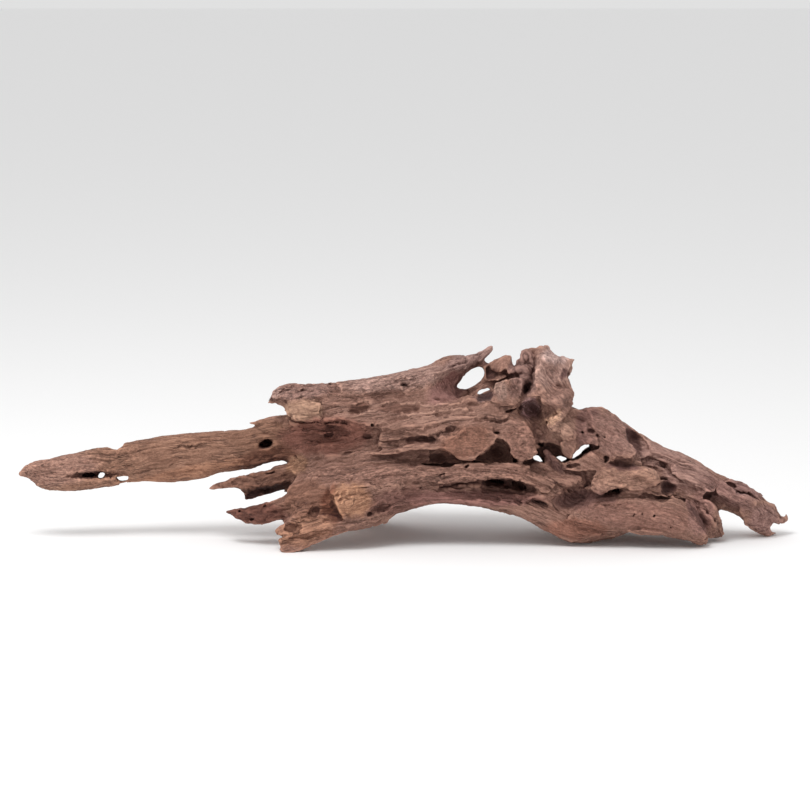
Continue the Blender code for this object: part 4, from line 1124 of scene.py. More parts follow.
SNIPS = {
    # Windows.
    "arm_window": (95.4,476.6, 98,473.6, 102,472, 104.4,473.6, 103,476.6, 99,478, 96.4,478),
    "arm_end_window": (114,477.4, 118,476.6, 124,476, 128.6,476.4, 127,479.6, 122,481, 117,480.6),
    "bowl_window": (457.4,387.6, 458.6,384, 461,380, 465,375.6, 470,371.4, 475,368.8, 480,367.4, 483.6,368.6,
        484.6,372, 483.6,376, 480.6,380.6, 476,384.6, 471,387.6, 465,389.2, 460,389),
    "low_window": (476.4,394, 479,391.2, 483,389, 488,388, 491.8,389.2, 489,390.8, 484.6,391.6, 480,394),
    "window_left": (531,455.4, 536,454.8, 540.6,456.6, 544,460.6, 546,463.2, 541,462.4, 534.4,459.6),
    "window_middle": (555.6,457, 560,456, 564,456.6, 567,458.4, 570.4,459.6, 568,461, 563,462.4, 559.6,460.6),
    "window_right": (570.8,459, 571.6,455, 575.6,450.4, 581.6,446, 587,443.6, 591.6,444.2, 588.4,448, 583.4,451,
        582.6,455.2, 576.4,458.6, 573,459.8),
    # Bays and notches of the outline.
    "above_spike": (243,423, 252,421, 262,417.2, 272,415.6, 281,414, 284.4,412.4, 286,409.4, 284,407, 281,405,
        275,402.8, 267,405, 250,404, 236,416),
    "under_spike": (238,424.4, 244,424.2, 250,424.2, 254.6,424.8, 252.8,427.4, 247,429, 236,430, 222,431.4, 222,426),
    "arm_step": (104,444, 106,447.4, 110,449, 116,449, 120.4,448, 122,446.4, 122.6,444, 125,441.6, 116,438),
    "prongs_apart": (204,492.6, 216,489.6, 226,488, 236,487.8, 240,489.8, 243,493.4, 244.4,497, 242.8,500.6, 250,499,
        262,496.2, 272,493.7, 280,491, 284.4,489.4, 281.6,494, 280,497.6, 275,499.8, 265,502.3, 256,504.8, 245,507.8,
        236,508.8, 227,509.4, 216,504),
    "under_prongs": (218,514, 226,513.4, 229,513.8, 233,516, 237,518.4, 242,521, 248,523.6, 255,524.6, 262,524.6,
        270,522.8, 278,520, 282,519.6, 285,521.6, 283,524, 279,526, 276,528.6, 275.4,531, 277.6,533.6, 281,534.6,
        285.6,535.8, 281,537, 278.6,538.4, 280,541, 280,544, 281.8,546.4, 280,548.6, 280.8,551.4, 284,552.6, 270,560,
        250,544, 224,530),
    "comb_gap": (511.4,354, 513,350, 517,348, 520.4,351, 520,357, 518,359.4, 515.6,360, 515.4,364, 514,365.4,
        512.4,363.6, 511.6,360),
    "jaw": (778.5,525.2, 776,524.6, 773.8,527, 773,530.4, 775,532.8, 779,534.2, 783,537, 792,530, 790,525.4, 786,525,
        782,525.4),
    "tip_shoulder": (777,503.4, 780,507, 780.8,512, 782.4,516, 785.4,517.6, 790,518.6, 792,508, 784,500),
    "foot_sole": (288,554, 294,552.6, 300,550, 307,547, 314,543.8, 322,540, 330,536.4, 337,534, 345,531.6, 354,530,
        352,536, 330,548, 306,556, 292,560),
}
SNIP_FROM, SNIP_TO = -110.0, 120.0
BORE_VOXEL = 0.0007
HOLE_TEAR = 0.45
HOLE_LEAD = 6.0
CRUMB_FACES = 5000


def snips(outlines, random):
    """Cutters with torn outlines that reach right through along the line of sight."""
    parts = []
    for name, outline in outlines.items():
        spots, faces = torn_outline(places(outline, 2), random)
        parts.append(slab(name, spots, faces, *(np.full(len(spots), y) for y in (SNIP_FROM, SNIP_TO)), 1.0))
    join_into(*parts)
    remesh(parts[0], CARVE_VOXEL)
    return parts[0]


def hole_paths(piece, holes):
    """Tubes from in front of the skin into it, several side by side for a long hole."""
    skin = skin_of(piece)
    paths = []
    for x, d, half_length, half_width, slope, depth, lean_x, lean_d in holes.values():
        y = front_depth(skin, x, d)
        if y is None:
            continue
        count = max(1, round(half_length / half_width * 1.5)) if half_length > half_width * 1.2 else 1
        turn = math.radians(slope)
        for i in range(count):
            t = (2 * i / (count - 1) - 1) if count > 1 else 0.0
            off = t * (half_length - half_width)
            ox, od = off * math.cos(turn), -off * math.sin(turn)
            width = half_width * (1 - 0.35 * t * t)
            paths.append([
                (x + ox, d + od, y - HOLE_LEAD, width * 1.1),
                (x + ox, d + od, y + 0.5, width),
                (x + ox * 0.9 + lean_x * 0.5, d + od * 0.9 + lean_d * 0.5, y + depth * 0.5, width * 1.05),
                (x + ox * 0.7 + lean_x, d + od * 0.7 + lean_d, y + depth, width * 0.6),
            ])
    return paths


def torn_cutter(paths):
    """One clean skin around the tubes, with torn edges."""
    bores = grown("bores", paths, 1.0)
    remesh(bores, BORE_VOXEL)
    sheet = to_sheet(points_of(bores))
    x, d = torn(sheet[:, 0], sheet[:, 1])
    sheet[:, :2] += (np.column_stack((x, d)) - sheet[:, :2]) * HOLE_TEAR
    set_points(bores, to_part(sheet))
    return bores


def without_crumbs(tree, given):
    """Leaves out every loose bit with few faces."""
    island = tree.nodes.new("GeometryNodeInputMeshIsland")
    total = add_node(
        tree, "GeometryNodeAccumulateField", {"Value": 1, "Group ID": island.outputs["Island Index"]},
        data_type="INT", domain="FACE",
    )
    few = add_node(
        tree, "FunctionNodeCompare", {2: total.outputs["Total"], 3: CRUMB_FACES},
        data_type="INT", operation="LESS_THAN",
    )
    return add_node(
        tree, "GeometryNodeDeleteGeometry",
        {"Geometry": given.outputs["Geometry"], "Selection": few.outputs[0]}, domain="FACE",
    ).outputs[0]


crumb_tree, given = start_tree("leave out crumbs", {})
end_tree(crumb_tree, without_crumbs(crumb_tree, given))
cut_away(wood, torn_cutter(hole_paths(wood, HOLES)))
run_tree(wood, crumb_tree, {})
say(wood, "wood with its holes")

# %% [markdown]
# ## The way the grain runs
# The grain follows each strand: along the arm, up the burl, down the crest. A few strokes say
# where it runs. They are spread over the sheet by a weighted average, and two numbers are then
# fitted to the directions by least squares: how far along the grain a place is, and how far
# across it. Noise that is stretched in those numbers looks like real grain wherever it bends.

# %% Grain strokes
GRAIN_STROKES = {
    "arm": (17,474, 120,458, 220,448, 300,440),
    "arm_low": (40,486, 120,482, 200,470, 280,458),
    "top_strand": (268,396, 340,392, 400,382, 440,368, 470,360, 492,346),
    "flake": (286,412, 350,412, 420,408, 470,402, 510,394, 530,384),
    "bowl": (430,396, 446,384, 464,372, 486,366),
    "middle": (300,430, 360,428, 430,424, 500,418, 524,410),
    "long_ridge": (340,452, 400,448, 450,444, 480,436, 500,428),
    "waist": (290,474, 360,474, 430,473, 500,472, 560,480, 600,492),
    "arch": (376,512, 410,500, 450,497, 500,500, 540,512, 575,530, 620,524),
    "prong_upper": (206,490, 250,482, 310,470),
    "prong_lower": (225,512, 260,512, 305,504),
    "lobe": (286,500, 330,496, 380,490, 410,486),
    "foot": (282,546, 320,530, 360,516, 390,508),
    "comb": (520,352, 520,372, 518,392),
    "burl_left": (531,352, 529,380, 528,400),
    "burl": (545,346, 548,372, 550,392, 551,402),
    "knuckle": (545,430, 556,419, 569,406),
    "knuckle_low": (560,430, 565,444, 567,458),
    "burl_right": (566,366, 566,390, 566,412, 572,430),
    "neck": (560,420, 580,420, 600,418),
    "crest": (594,414, 612,424, 640,446, 672,464, 700,480, 728,498, 750,512, 780,522),
    "crest_top": (600,408, 640,432, 690,462, 730,482, 764,498, 784,516),
    "plate": (600,420, 612,436, 622,452),
    "beak": (590,482, 620,476, 656,480),
    "hip": (590,450, 598,470, 606,490),
    "block": (580,510, 620,514, 660,518, 700,536),
    "root": (664,480, 690,496, 706,514, 714,532),
}
GRAIN_CELL = 9.0
GRAIN_SPREAD = 13.0
GRAIN_DRIFT = 0.02
SHEET_WIDTH = 810
GRAIN_TOP, GRAIN_BOTTOM = 324, 564


def grain_directions(x, d):
    """The grain's direction at each place on the sheet, as a weighted average of the strokes'."""
    total = np.zeros((len(x), 2))
    total[:, 0] = GRAIN_DRIFT
    for stroke in GRAIN_STROKES.values():
        path = smooth_path(places(stroke, 2), 4)
        for a, b in zip(path, path[1:]):
            middle, run = (a + b) / 2, b - a
            pull = np.exp(-((x - middle[0]) ** 2 + (d - middle[1]) ** 2) / (2 * GRAIN_SPREAD**2))
            total += pull[:, None] * run
    return total / np.linalg.norm(total, axis=1)[:, None]


def fit_grain():
    """Grids of how far along and how far across the grain each cell of the sheet lies."""
    xs, ds = np.arange(0, SHEET_WIDTH, GRAIN_CELL), np.arange(GRAIN_TOP, GRAIN_BOTTOM, GRAIN_CELL)
    wide, tall = len(xs), len(ds)
    grid_x, grid_d = np.meshgrid(xs, ds)
    number = np.arange(wide * tall).reshape(tall, wide)
    right = np.column_stack((number[:, :-1].ravel(), number[:, 1:].ravel()))
    down = np.column_stack((number[:-1].ravel(), number[1:].ravel()))
    flow = grain_directions(grid_x.ravel(), grid_d.ravel())
    across = np.column_stack((-flow[:, 1], flow[:, 0]))
    normal_matrix = np.zeros((wide * tall, wide * tall))
    pulls = np.zeros((wide * tall, 2))
    for pairs, axis in ((right, 0), (down, 1)):
        a, b = pairs.T
        np.add.at(normal_matrix, (a, a), 1)
        np.add.at(normal_matrix, (b, b), 1)
        np.add.at(normal_matrix, (a, b), -1)
        np.add.at(normal_matrix, (b, a), -1)
        for column, wanted in enumerate((flow, across)):
            step = GRAIN_CELL * (wanted[a, axis] + wanted[b, axis]) / 2
            np.add.at(pulls[:, column], b, step)
            np.add.at(pulls[:, column], a, -step)
    normal_matrix[0, 0] += 1
    found = np.linalg.solve(normal_matrix, pulls)
    return xs, ds, found.reshape(tall, wide, 2)


grain_grid = fit_grain()


def grain_of(sheet):
    """Millimetres along the grain, across it and through the wood, for rows of x, d, y."""
    xs, ds, grid = grain_grid
    u = np.clip((sheet[:, 0] - xs[0]) / GRAIN_CELL, 0, len(xs) - 1.001)
    v = np.clip((sheet[:, 1] - ds[0]) / GRAIN_CELL, 0, len(ds) - 1.001)
    i, j = u.astype(int), v.astype(int)
    s, t = (u - i)[:, None], (v - j)[:, None]
    upper = grid[j, i] * (1 - s) + grid[j, i + 1] * s
    lower = grid[j + 1, i] * (1 - s) + grid[j + 1, i + 1] * s
    return np.column_stack((upper * (1 - t) + lower * t, sheet[:, 2]))


print("grain grid:", grain_grid[2].shape, "spans", np.ptp(grain_grid[2], axis=(0, 1)).round(0))

# %% [markdown]
# ## Patches
# Some things differ from place to place: how rough the wood has worn, how streaky and how
# speckled it is, and its colour, where some colour patches are painted shade in hollows and under
# edges and one is painted light in a shadowed pocket. All are told as soft patches on the sheet,
# which blend into each other with torn borders. Joints between forms that the real wood doesn't
# have are eased first, by moving their points towards their neighbours' average.

# %% Patches
PATCH_END = 1.25
PATCH_FADE = 0.5
SOFTEN_PASSES = 24
SOFTEN_SHARE = 0.9


def patch_weight(x, d, patch):
    """How much of the patch a place has, from 1 in its middle to 0 at its border."""
    middle_x, middle_d, half_length, half_width, slope = patch[:5]
    turn = math.radians(slope)
    u = (x - middle_x) * math.cos(turn) - (d - middle_d) * math.sin(turn)
    v = (x - middle_x) * math.sin(turn) + (d - middle_d) * math.cos(turn)
    far = np.hypot(u / half_length, v / half_width)
    t = np.clip((PATCH_END - far) / PATCH_FADE, 0, 1)
    return t * t * (3 - 2 * t)


def facing_away(piece):
    """1 where the skin faces away from the front, 0 where it faces the front."""
    return np.clip(0.2 - 1.6 * (normals_of(piece) @ np.array(TO_CAMERA)), 0, 1)


SOFT_SPOTS = {
    "valley_left": (288,434,10,28,0),
    "valley_top": (300,424,12,5,0),
    "valley_low": (334,468,44,8,0),
    "top_end_right": (344,392,12,12,0),
    "waist_left": (452,465,10,6,0),
    "arm_prong": (292,470,8,10,0),
    "lobe_left": (288,506,8,12,0),
    "foot_left": (300,536,20,8,10),
    "recess_end": (372,458,10,6,0),
    "bowl_left": (430,390,5,14,0),
    "flake_left": (287,413,5,10,0),
    "flake_top": (303,402,18,3,4),
    "bay_left": (552,502,12,8,0),
    "bay_low": (574,509,12,4,20),
    "post_side": (510,427,10,5,20),
    "lobe_join": (308,474,8,6,0),
}


def soften(piece, spots, passes):
    """Eases the joints between forms where the wood has none."""
    sheet = to_sheet(points_of(piece))
    weight = np.zeros(len(sheet))
    for spot in spots.values():
        weight = np.maximum(weight, patch_weight(sheet[:, 0], sheet[:, 1], spot))
    around = neighbours_of(piece)
    points = points_of(piece)
    for _ in range(passes):
        points += SOFTEN_SHARE * weight[:, None] * (averaged(points, around) - points)
    set_points(piece, points)


soften(wood, SOFT_SPOTS, SOFTEN_PASSES)

ROUGH_PATCHES = {
    # Middle, half-length, half-width and slope on the sheet, then how rough.
    "arm": (150,462,140,34,10,0.5),
    "arm_root": (270,440,34,26,5,0.7),
    "burl": (552,376,24,34,0,0.45),
    "knuckle": (560,430,16,24,0,0.45),
    "pocket": (533,412,14,22,0,0.5),
    "post": (519,442,18,22,0,0.3),
    "neck": (580,424,16,26,0,0.5),
    "top_strand": (360,386,100,14,4,0.75),
    "fin": (462,360,36,12,22,0.2),
    "block": (640,516,66,20,-8,0.3),
    "arch": (450,500,70,8,0,0.6),
    "waist": (430,474,120,8,0,0.8),
    "beak": (625,478,36,14,0,0.4),
    "crest_plate": (608,432,28,26,-40,0.4),
    "tip": (756,512,34,16,-24,0.9),
    "plate": (470,441,26,14,20,0.7),
    "slab": (440,411,84,10,0,0.7),
    "bowl": (446,388,20,14,0,0.3),
    "comb": (500,370,14,12,0,0.6),
    "foot": (312,536,34,10,14,0.4),
    "pale_flake": (303,411,22,12,0,0.5),
    "worn_flake": (352,500,22,15,-10,0.55),
}
GRIT_PATCHES = {
    # The same, then how speckled the wood is.
    "arm_left": (70,466,70,30,8,1.8),
    "bowl": (446,388,20,16,0,0.0),
    "valley": (335,440,48,24,0,0.1),
    "arch": (480,498,60,10,0,0.15),
    "top": (340,388,120,12,4,2.3),
    "comb": (506,384,16,18,0,1.9),
    "foot": (312,536,34,9,14,1.0),
    "crest_far": (728,492,24,10,-30,1.4),
    "waist": (430,474,110,8,0,2.1),
    "knuckle": (558,430,18,24,0,1.6),
    "post": (519,442,18,22,0,1.8),
    "crest_plate": (608,434,30,28,-40,1.5),
    "beak": (625,478,36,14,0,1.2),
    "block": (640,516,66,20,-8,1.1),
    "plate": (466,442,28,15,20,1.8),
    "burl": (552,376,24,32,0,1.7),
    "lobe": (310,500,26,14,0,0.3),
    "pocket": (531,410,12,14,0,2.0),
    "root": (700,510,14,26,-10,1.6),
}
STREAK_PATCHES = {
    "post": (519,442,18,22,0,0.1),
    "bowl": (444,388,22,16,0,0.1),
    "valley": (330,448,44,14,0,0.7),
    "slab": (440,408,70,8,0,0.75),
    "burl": (552,376,26,36,0,0.4),
    "comb": (508,378,18,26,0,0.4),
    "knuckle": (560,430,18,26,0,0.3),
    "crest_plate": (608,432,30,28,-40,0.5),
    "beak": (625,478,38,16,0,0.5),
    "block": (640,516,66,20,-8,0.5),
    "plates": (466,442,28,15,20,0.6),
    "flake": (303,411,22,12,0,0.4),
    "root": (700,510,14,26,-10,0.5),
}


def patched(sheet, start, patches):
    """A number or a row of numbers for each place, blended from the start through the patches."""
    value = np.tile(np.array(start, float), (len(sheet), 1))
    x, d = torn(sheet[:, 0], sheet[:, 1])
    for patch in patches.values():
        share = patch_weight(x, d, patch)[:, None]
        value += share * (np.array(patch[5], float) - value)
    return value


def with_back(values, behind, wanted):
    """The values, with the wanted number where the skin faces away from the front."""
    return values + behind * (wanted - values)


# %% [markdown]
# ## Weathering
# Soft early wood wears away first and hard late wood stays, so old driftwood is all shelves and
# furrows that run with the grain. The tree below moves the skin by noise in the grain's own
# numbers: broad rolls, shelves that end in torn steps, furrows, thin cracks, rot pits and fine
# fibres. Thin tips get less, so that they stay whole. The back, which lay in the wet, is rougher
# and has more rot hollows. Where the wood is frayed, short torn fibres are laid on the skin
# first, and are melted into it by the remesh.

# %% The weathering tree
def along_grain(tree, grain, length, width):
    """The grain's numbers, scaled so that one unit is this long and this wide in millimetres."""
    scale = add_node(tree, "ShaderNodeCombineXYZ", {0: 1 / length, 1: 1 / width, 2: 1 / width})
    return vector_maths(tree, "MULTIPLY", grain, scale.outputs[0])


def grain_noise(tree, grain, length, width, seed, detail=2.0, roughness=0.5):
    """Noise about this long and wide in millimetres, from 0 to 1, stretched along the grain."""
    noise = add_node(
        tree, "ShaderNodeTexNoise",
        {"Vector": along_grain(tree, grain, length, width), "W": seed, "Scale": 1.0, "Detail": detail,
         "Roughness": roughness},
        noise_dimensions="4D",
    )
    return noise.outputs[0]


def ridged(tree, noise, reach=0.22):
    """Sharp crests where the noise passes its middle, and round valleys between."""
    away = maths(tree, "ABSOLUTE", maths(tree, "SUBTRACT", noise, 0.5))
    return ramp(tree, away, 0.0, reach, 1.0, 0.0, smooth=False)


def bent_grain(tree, grain, bends):
    """The grain's numbers with the across number shifted by slow noise, so that no line is straight."""
    shift = 0.0
    for length, width, seed, amount in bends:
        wave = maths(tree, "SUBTRACT", grain_noise(tree, grain, length, width, seed), 0.5)
        shift = add_times(tree, wave, amount, shift)
    return vector_maths(tree, "ADD", grain, add_node(tree, "ShaderNodeCombineXYZ", {1: shift}).outputs[0])


def rot_pits(tree, grain, length, width, seed, share):
    """1 in the middle of long pits, 0 outside them. Only this share of all cells has a pit."""
    cells = add_node(
        tree, "ShaderNodeTexVoronoi",
        {"Vector": along_grain(tree, grain, length, width), "W": seed, "Scale": 1.0, "Randomness": 1.0},
        voronoi_dimensions="4D",
    )
    luck = add_node(tree, "ShaderNodeSeparateXYZ", {0: cells.outputs["Color"]})
    chosen = maths(tree, "LESS_THAN", luck.outputs[0], share)
    return times(tree, ramp(tree, cells.outputs["Distance"], 0.16, 0.4, 1.0, 0.0), chosen)


BENDS = ((60, 30, 3.0, 16.0), (17, 9, 4.0, 4.0))
WEATHER_NOISE = {
    # Length and width in millimetres, seed, detail and roughness.
    "rolls": (60, 22, 11.0, 1.0),
    "levels": (64, 14, 51.0, 2.0, 0.55),
    "wide": (80, 9, 21.0, 1.5),
    "narrow": (44, 3.8, 31.0, 1.0),
    "cracked": (50, 24, 81.0),
    "cracks": (60, 9, 91.0, 1.0),
    "fibres": (22, 2.0, 41.0, 1.0),
}
ROT = {
    # Length and width in millimetres, seed, and the share of cells that have a pit.
    "pits": (17, 6.5, 7.0, 0.2),
    "hollows": (46, 15, 17.0, 0.34),
}
WEATHER = {
    "Rolls": 3.0, "Shelves": 1.0, "Furrows": 1.1, "Cracks": 1.8, "Pits": 2.6, "Fibres": 0.5,
    "Hollows": 6.5, "Broad middle": 7.1, "Fine middle": 0.5,
}


def weather_tree():
    tree, given = start_tree("weather the wood", WEATHER)
    size = given.outputs
    grain = named(tree, "grain", "FLOAT_VECTOR")
    rough = named(tree, "rough")
    bent = bent_grain(tree, grain, BENDS)

    def noise(name, ways=bent):
        return grain_noise(tree, ways, *WEATHER_NOISE[name])

    def sunk(name):
        return times(tree, size[name], -1.0)

    level = times(tree, noise("levels"), 10.0)
    riser = ramp(tree, maths(tree, "FRACT", level), 0.66, 0.98)
    shelves = maths(tree, "ADD", maths(tree, "FLOOR", level), riser)
    shelves = add_times(tree, level, 0.3, times(tree, shelves, 0.7))
    hollows = times(tree, rot_pits(tree, bent, *ROT["hollows"]), named(tree, "behind"))
    broad = times(tree, noise("rolls"), size["Rolls"])
    broad = add_times(tree, shelves, size["Shelves"], broad)
    broad = maths(tree, "SUBTRACT", broad, size["Broad middle"])
    broad = add_times(tree, hollows, sunk("Hollows"), broad)

    cracks = times(tree, ridged(tree, noise("cracks"), 0.035), ramp(tree, noise("cracked", grain), 0.42, 0.56))
    pits = times(tree, rot_pits(tree, bent, *ROT["pits"]), rough)
    fine = times(tree, ridged(tree, noise("wide")), size["Furrows"])
    fine = add_times(tree, ridged(tree, noise("narrow")), times(tree, size["Furrows"], 0.4), fine)
    fine = add_times(tree, cracks, sunk("Cracks"), fine)
    fine = add_times(tree, pits, sunk("Pits"), fine)
    fine = add_times(tree, ridged(tree, noise("fibres")), size["Fibres"], fine)
    fine = maths(tree, "SUBTRACT", fine, size["Fine middle"])

    keep = add_times(tree, rough, 0.45, 0.55)
    height = add_times(tree, broad, rough, times(tree, fine, keep))
    height = times(tree, times(tree, height, named(tree, "thick")), MM)
    normal = tree.nodes.new("GeometryNodeInputNormal").outputs[0]
    moved = add_node(
        tree, "GeometryNodeSetPosition",
        {"Geometry": given.outputs["Geometry"], "Offset": vector_maths(tree, "SCALE", normal, height)},
    )
    end_tree(tree, moved.outputs[0])
    return tree


THICKNESS = {"Thin": 0.002, "Thick": 0.012}


def thickness_tree():
    """Stores how thick the wood is under each point, as a share from thin to thick."""
    tree, given = start_tree("how thick", THICKNESS)
    normal = tree.nodes.new("GeometryNodeInputNormal").outputs[0]
    place = tree.nodes.new("GeometryNodeInputPosition").outputs[0]
    inward = vector_maths(tree, "SCALE", normal, -1.0)
    ray = add_node(
        tree, "GeometryNodeRaycast",
        {"Target Geometry": given.outputs["Geometry"],
         "Source Position": vector_maths(tree, "ADD", place, vector_maths(tree, "SCALE", inward, RAY_START)),
         "Ray Direction": inward, "Ray Length": WHOLE_SCENE},
    )
    share = ramp(tree, ray.outputs["Hit Distance"], given.outputs["Thin"], given.outputs["Thick"], 0.15, 1.0)
    end_tree(tree, stored(tree, given.outputs["Geometry"], "thick", share))
    return tree


TUFTS = {
    # Torn fibres that lie on the skin. Middle, half-length, half-width, direction, how many, how long.
    "knuckle": (551,425,6,6,35,30,7),
    "arm_root": (293,464,7,7,-50,54,8),
    "lobe_top": (317,475,9,2.6,20,18,7),
    "ridge_end": (344,473,10,4,12,12,8),
    "flake_top": (384,484,11,4.4,-24,22,10),
    "flake_side": (334,489,5,6,60,12,6),
    "flake_face": (350,500,12,7,84,14,9),
    "prong_tip": (228,486,10,3,18,10,10),
    "post_foot": (527,452,6,4,-30,10,5),
}


def tuft_paths(piece, tufts, random):
    """Short fibres on the skin, each a little lifted at its far end."""
    skin = skin_of(piece)
    paths = []
    for middle_x, middle_d, half_length, half_width, slope, count, length in tufts.values():
        for _ in range(count):
            turn, far = random.uniform(0, 2 * math.pi), math.sqrt(random.uniform(0, 1))
            x = middle_x + far * half_length * math.cos(turn)
            d = middle_d + far * half_width * math.sin(turn)
            way = math.radians(slope + random.normal(0, 16))
            long, lift = length * random.uniform(0.5, 1.1), random.uniform(0.3, 1.8)
            path = []
            for t in (0.0, 0.35, 0.7, 1.0):
                a, b = x + t * long * math.cos(way), d - t * long * math.sin(way)
                y = front_depth(skin, a, b)
                if y is None:
                    break
                path.append((a, b, y - lift * t, 1.0 * (1 - 0.5 * t)))
            if len(path) == 4 and max(p[2] for p in path) - min(p[2] for p in path) < 6:
                paths.append(path)
    return paths


WEATHER_VOXEL = 0.00092
BACK_ROUGHNESS = 1.8
fibres = tuft_paths(wood, TUFTS, random)
join_into(wood, grown("tufts", fibres, 1.0))
remesh(wood, WEATHER_VOXEL)
print("torn fibres:", len(fibres))
sheet = to_sheet(points_of(wood))
set_attribute(wood, "grain", grain_of(sheet))
behind = facing_away(wood)
rough = patched(sheet, 1.0, ROUGH_PATCHES)[:, 0]
set_attribute(wood, "rough", with_back(rough, behind, BACK_ROUGHNESS))
set_attribute(wood, "behind", behind)
run_tree(wood, thickness_tree(), THICKNESS)
before = points_of(wood)
run_tree(wood, weather_tree(), WEATHER)
moved = ((points_of(wood) - before) * normals_of(wood)).sum(1) / MM
cut_away(wood, snips(SNIPS, random))
run_tree(wood, crumb_tree, {})
print("weathering moves the skin by", np.percentile(moved, (2, 25, 50, 75, 98)).round(2), "mm")
say(wood, "weathered wood")

# %% [markdown]
# ## Fewer faces, flat feet
# The skin is thinned until it is light enough for the library. Collapsing edges takes most faces
# from the calm places, and the front, which people see first, keeps more of them than the back.
# The wood stands on worn flats, so nothing may be lower than the floor.

# %% Thin out and stand
MOST_TRIANGLES = 196_000
FRONT_KEEPS = 0.68

run_tree(wood, front_tree, {"Reach": WHOLE_SCENE})
hidden = wood.vertex_groups.new(name="hidden")
shown = calmed(wood, attribute_of(wood, "seen"), 3)
hidden.add(np.flatnonzero(shown < SEEN_LEAST).tolist(), 1.0, "REPLACE")
hidden.add(np.flatnonzero(shown >= SEEN_LEAST).tolist(), 1 - FRONT_KEEPS, "REPLACE")
change = wood.modifiers.new("thin out", "DECIMATE")
change.ratio = MOST_TRIANGLES / triangles_of(wood)
change.vertex_group = "hidden"
change.vertex_group_factor = 1.0
settle_modifiers(wood)
wood.vertex_groups.clear()
points = points_of(wood)
points[:, 2] = np.maximum(points[:, 2], 0.0)
set_points(wood, points)
print("triangles:", triangles_of(wood))

# %% [markdown]
# ## A closed skin
# Cutting and thinning leave a few flaws that no render shows: a face that lies back to back with
# another, or an edge that three faces share. A printer or a slicer would trip over them. Such faces
# are taken out, the small holes are filled, and all faces are turned outwards.

# %% Mend the skin
MENDING_ROUNDS = 8


def back_to_back(mesh):
    """Faces that have the same corners as another face."""
    mesh.verts.index_update()
    corners = {}
    for face in mesh.faces:
        corners.setdefault(frozenset(vertex.index for vertex in face.verts), []).append(face)
    return [face for faces in corners.values() if len(faces) > 1 for face in faces]


def flawed_edges(mesh):
    """Edges that don't have two faces."""
    return [edge for edge in mesh.edges if len(edge.link_faces) != 2]


def mend(piece):
    """Cuts out the faces round each flaw and fills the hole, a little wider each time."""
    mesh = bmesh.new()
    mesh.from_mesh(piece.data)
    bmesh.ops.remove_doubles(mesh, verts=mesh.verts, dist=SAME_PLACE)
    bmesh.ops.delete(mesh, geom=back_to_back(mesh), context="FACES")
    flaws = flawed_edges(mesh)
    print("flawed edges:", len(flaws), end=", ")
    for _ in range(MENDING_ROUNDS):
        around = {face for edge in flaws for vertex in edge.verts for face in vertex.link_faces}
        bmesh.ops.delete(mesh, geom=list(around), context="FACES")
        bare = [edge for edge in mesh.edges if len(edge.link_faces) == 1]
        filled = bmesh.ops.holes_fill(mesh, edges=bare, sides=0)["faces"]
        bmesh.ops.triangulate(mesh, faces=[face for face in filled if len(face.verts) > 3])
        flaws = flawed_edges(mesh)
        if not flaws:
            break
    bmesh.ops.recalc_face_normals(mesh, faces=mesh.faces)
    print("after mending:", len(flaws), "and faces back to back:", len(back_to_back(mesh)))
    mesh.to_mesh(piece.data)
    mesh.free()
    piece.data.update()


mend(wood)

# %% [markdown]
# ## Where painted shade and wear go
# Hollows get painted shade. Edges are pale, partly from rubbing and partly as painted highlight, and
# creases get painted shade. The share of free rays gives the hollows, and the height of each point
# over its neighbours' average gives the edges and creases. Both are stored on the mesh, where the
# material reads them, with the tone of each patch, some of it painted shade and painted light.

# %% Hollows and edges
RAYS = 24
EDGE_PASSES = 6
SRGB_POWER = 2.2
BACK_TONE_SHARE = 0.6
BACK_STREAKS = 1.25
BACK_GRIT = 1.7
BACK_AIR = 0.35
FRONT_GRIT = 0.5
turns = np.arange(RAYS) * math.pi * (3 - math.sqrt(5))
heights = 1 - 2 * (np.arange(RAYS) + 0.5) / RAYS
spread = np.column_stack((np.cos(turns), np.sin(turns), heights))
spread[:, :2] *= np.sqrt(1 - heights**2)[:, None]
run_tree(wood, ray_tree("open to the air", spread, "openness"), {"Reach": AIR_REACH})


def stand_out(piece, passes):
    """Millimetres by which each point stands out from the average of its surroundings."""
    points = points_of(piece)
    return ((points - calmed(piece, points, passes)) * normals_of(piece)).sum(1) / MM


def linear(red, green, blue):
    """A colour given as 0 to 255 in sRGB, as linear numbers for a shader."""
    srgb = np.array([red, green, blue]) / 255
    return tuple(np.where(srgb <= 0.04045, srgb / 12.92, ((srgb + 0.055) / 1.055) ** 2.4)) + (1.0,)


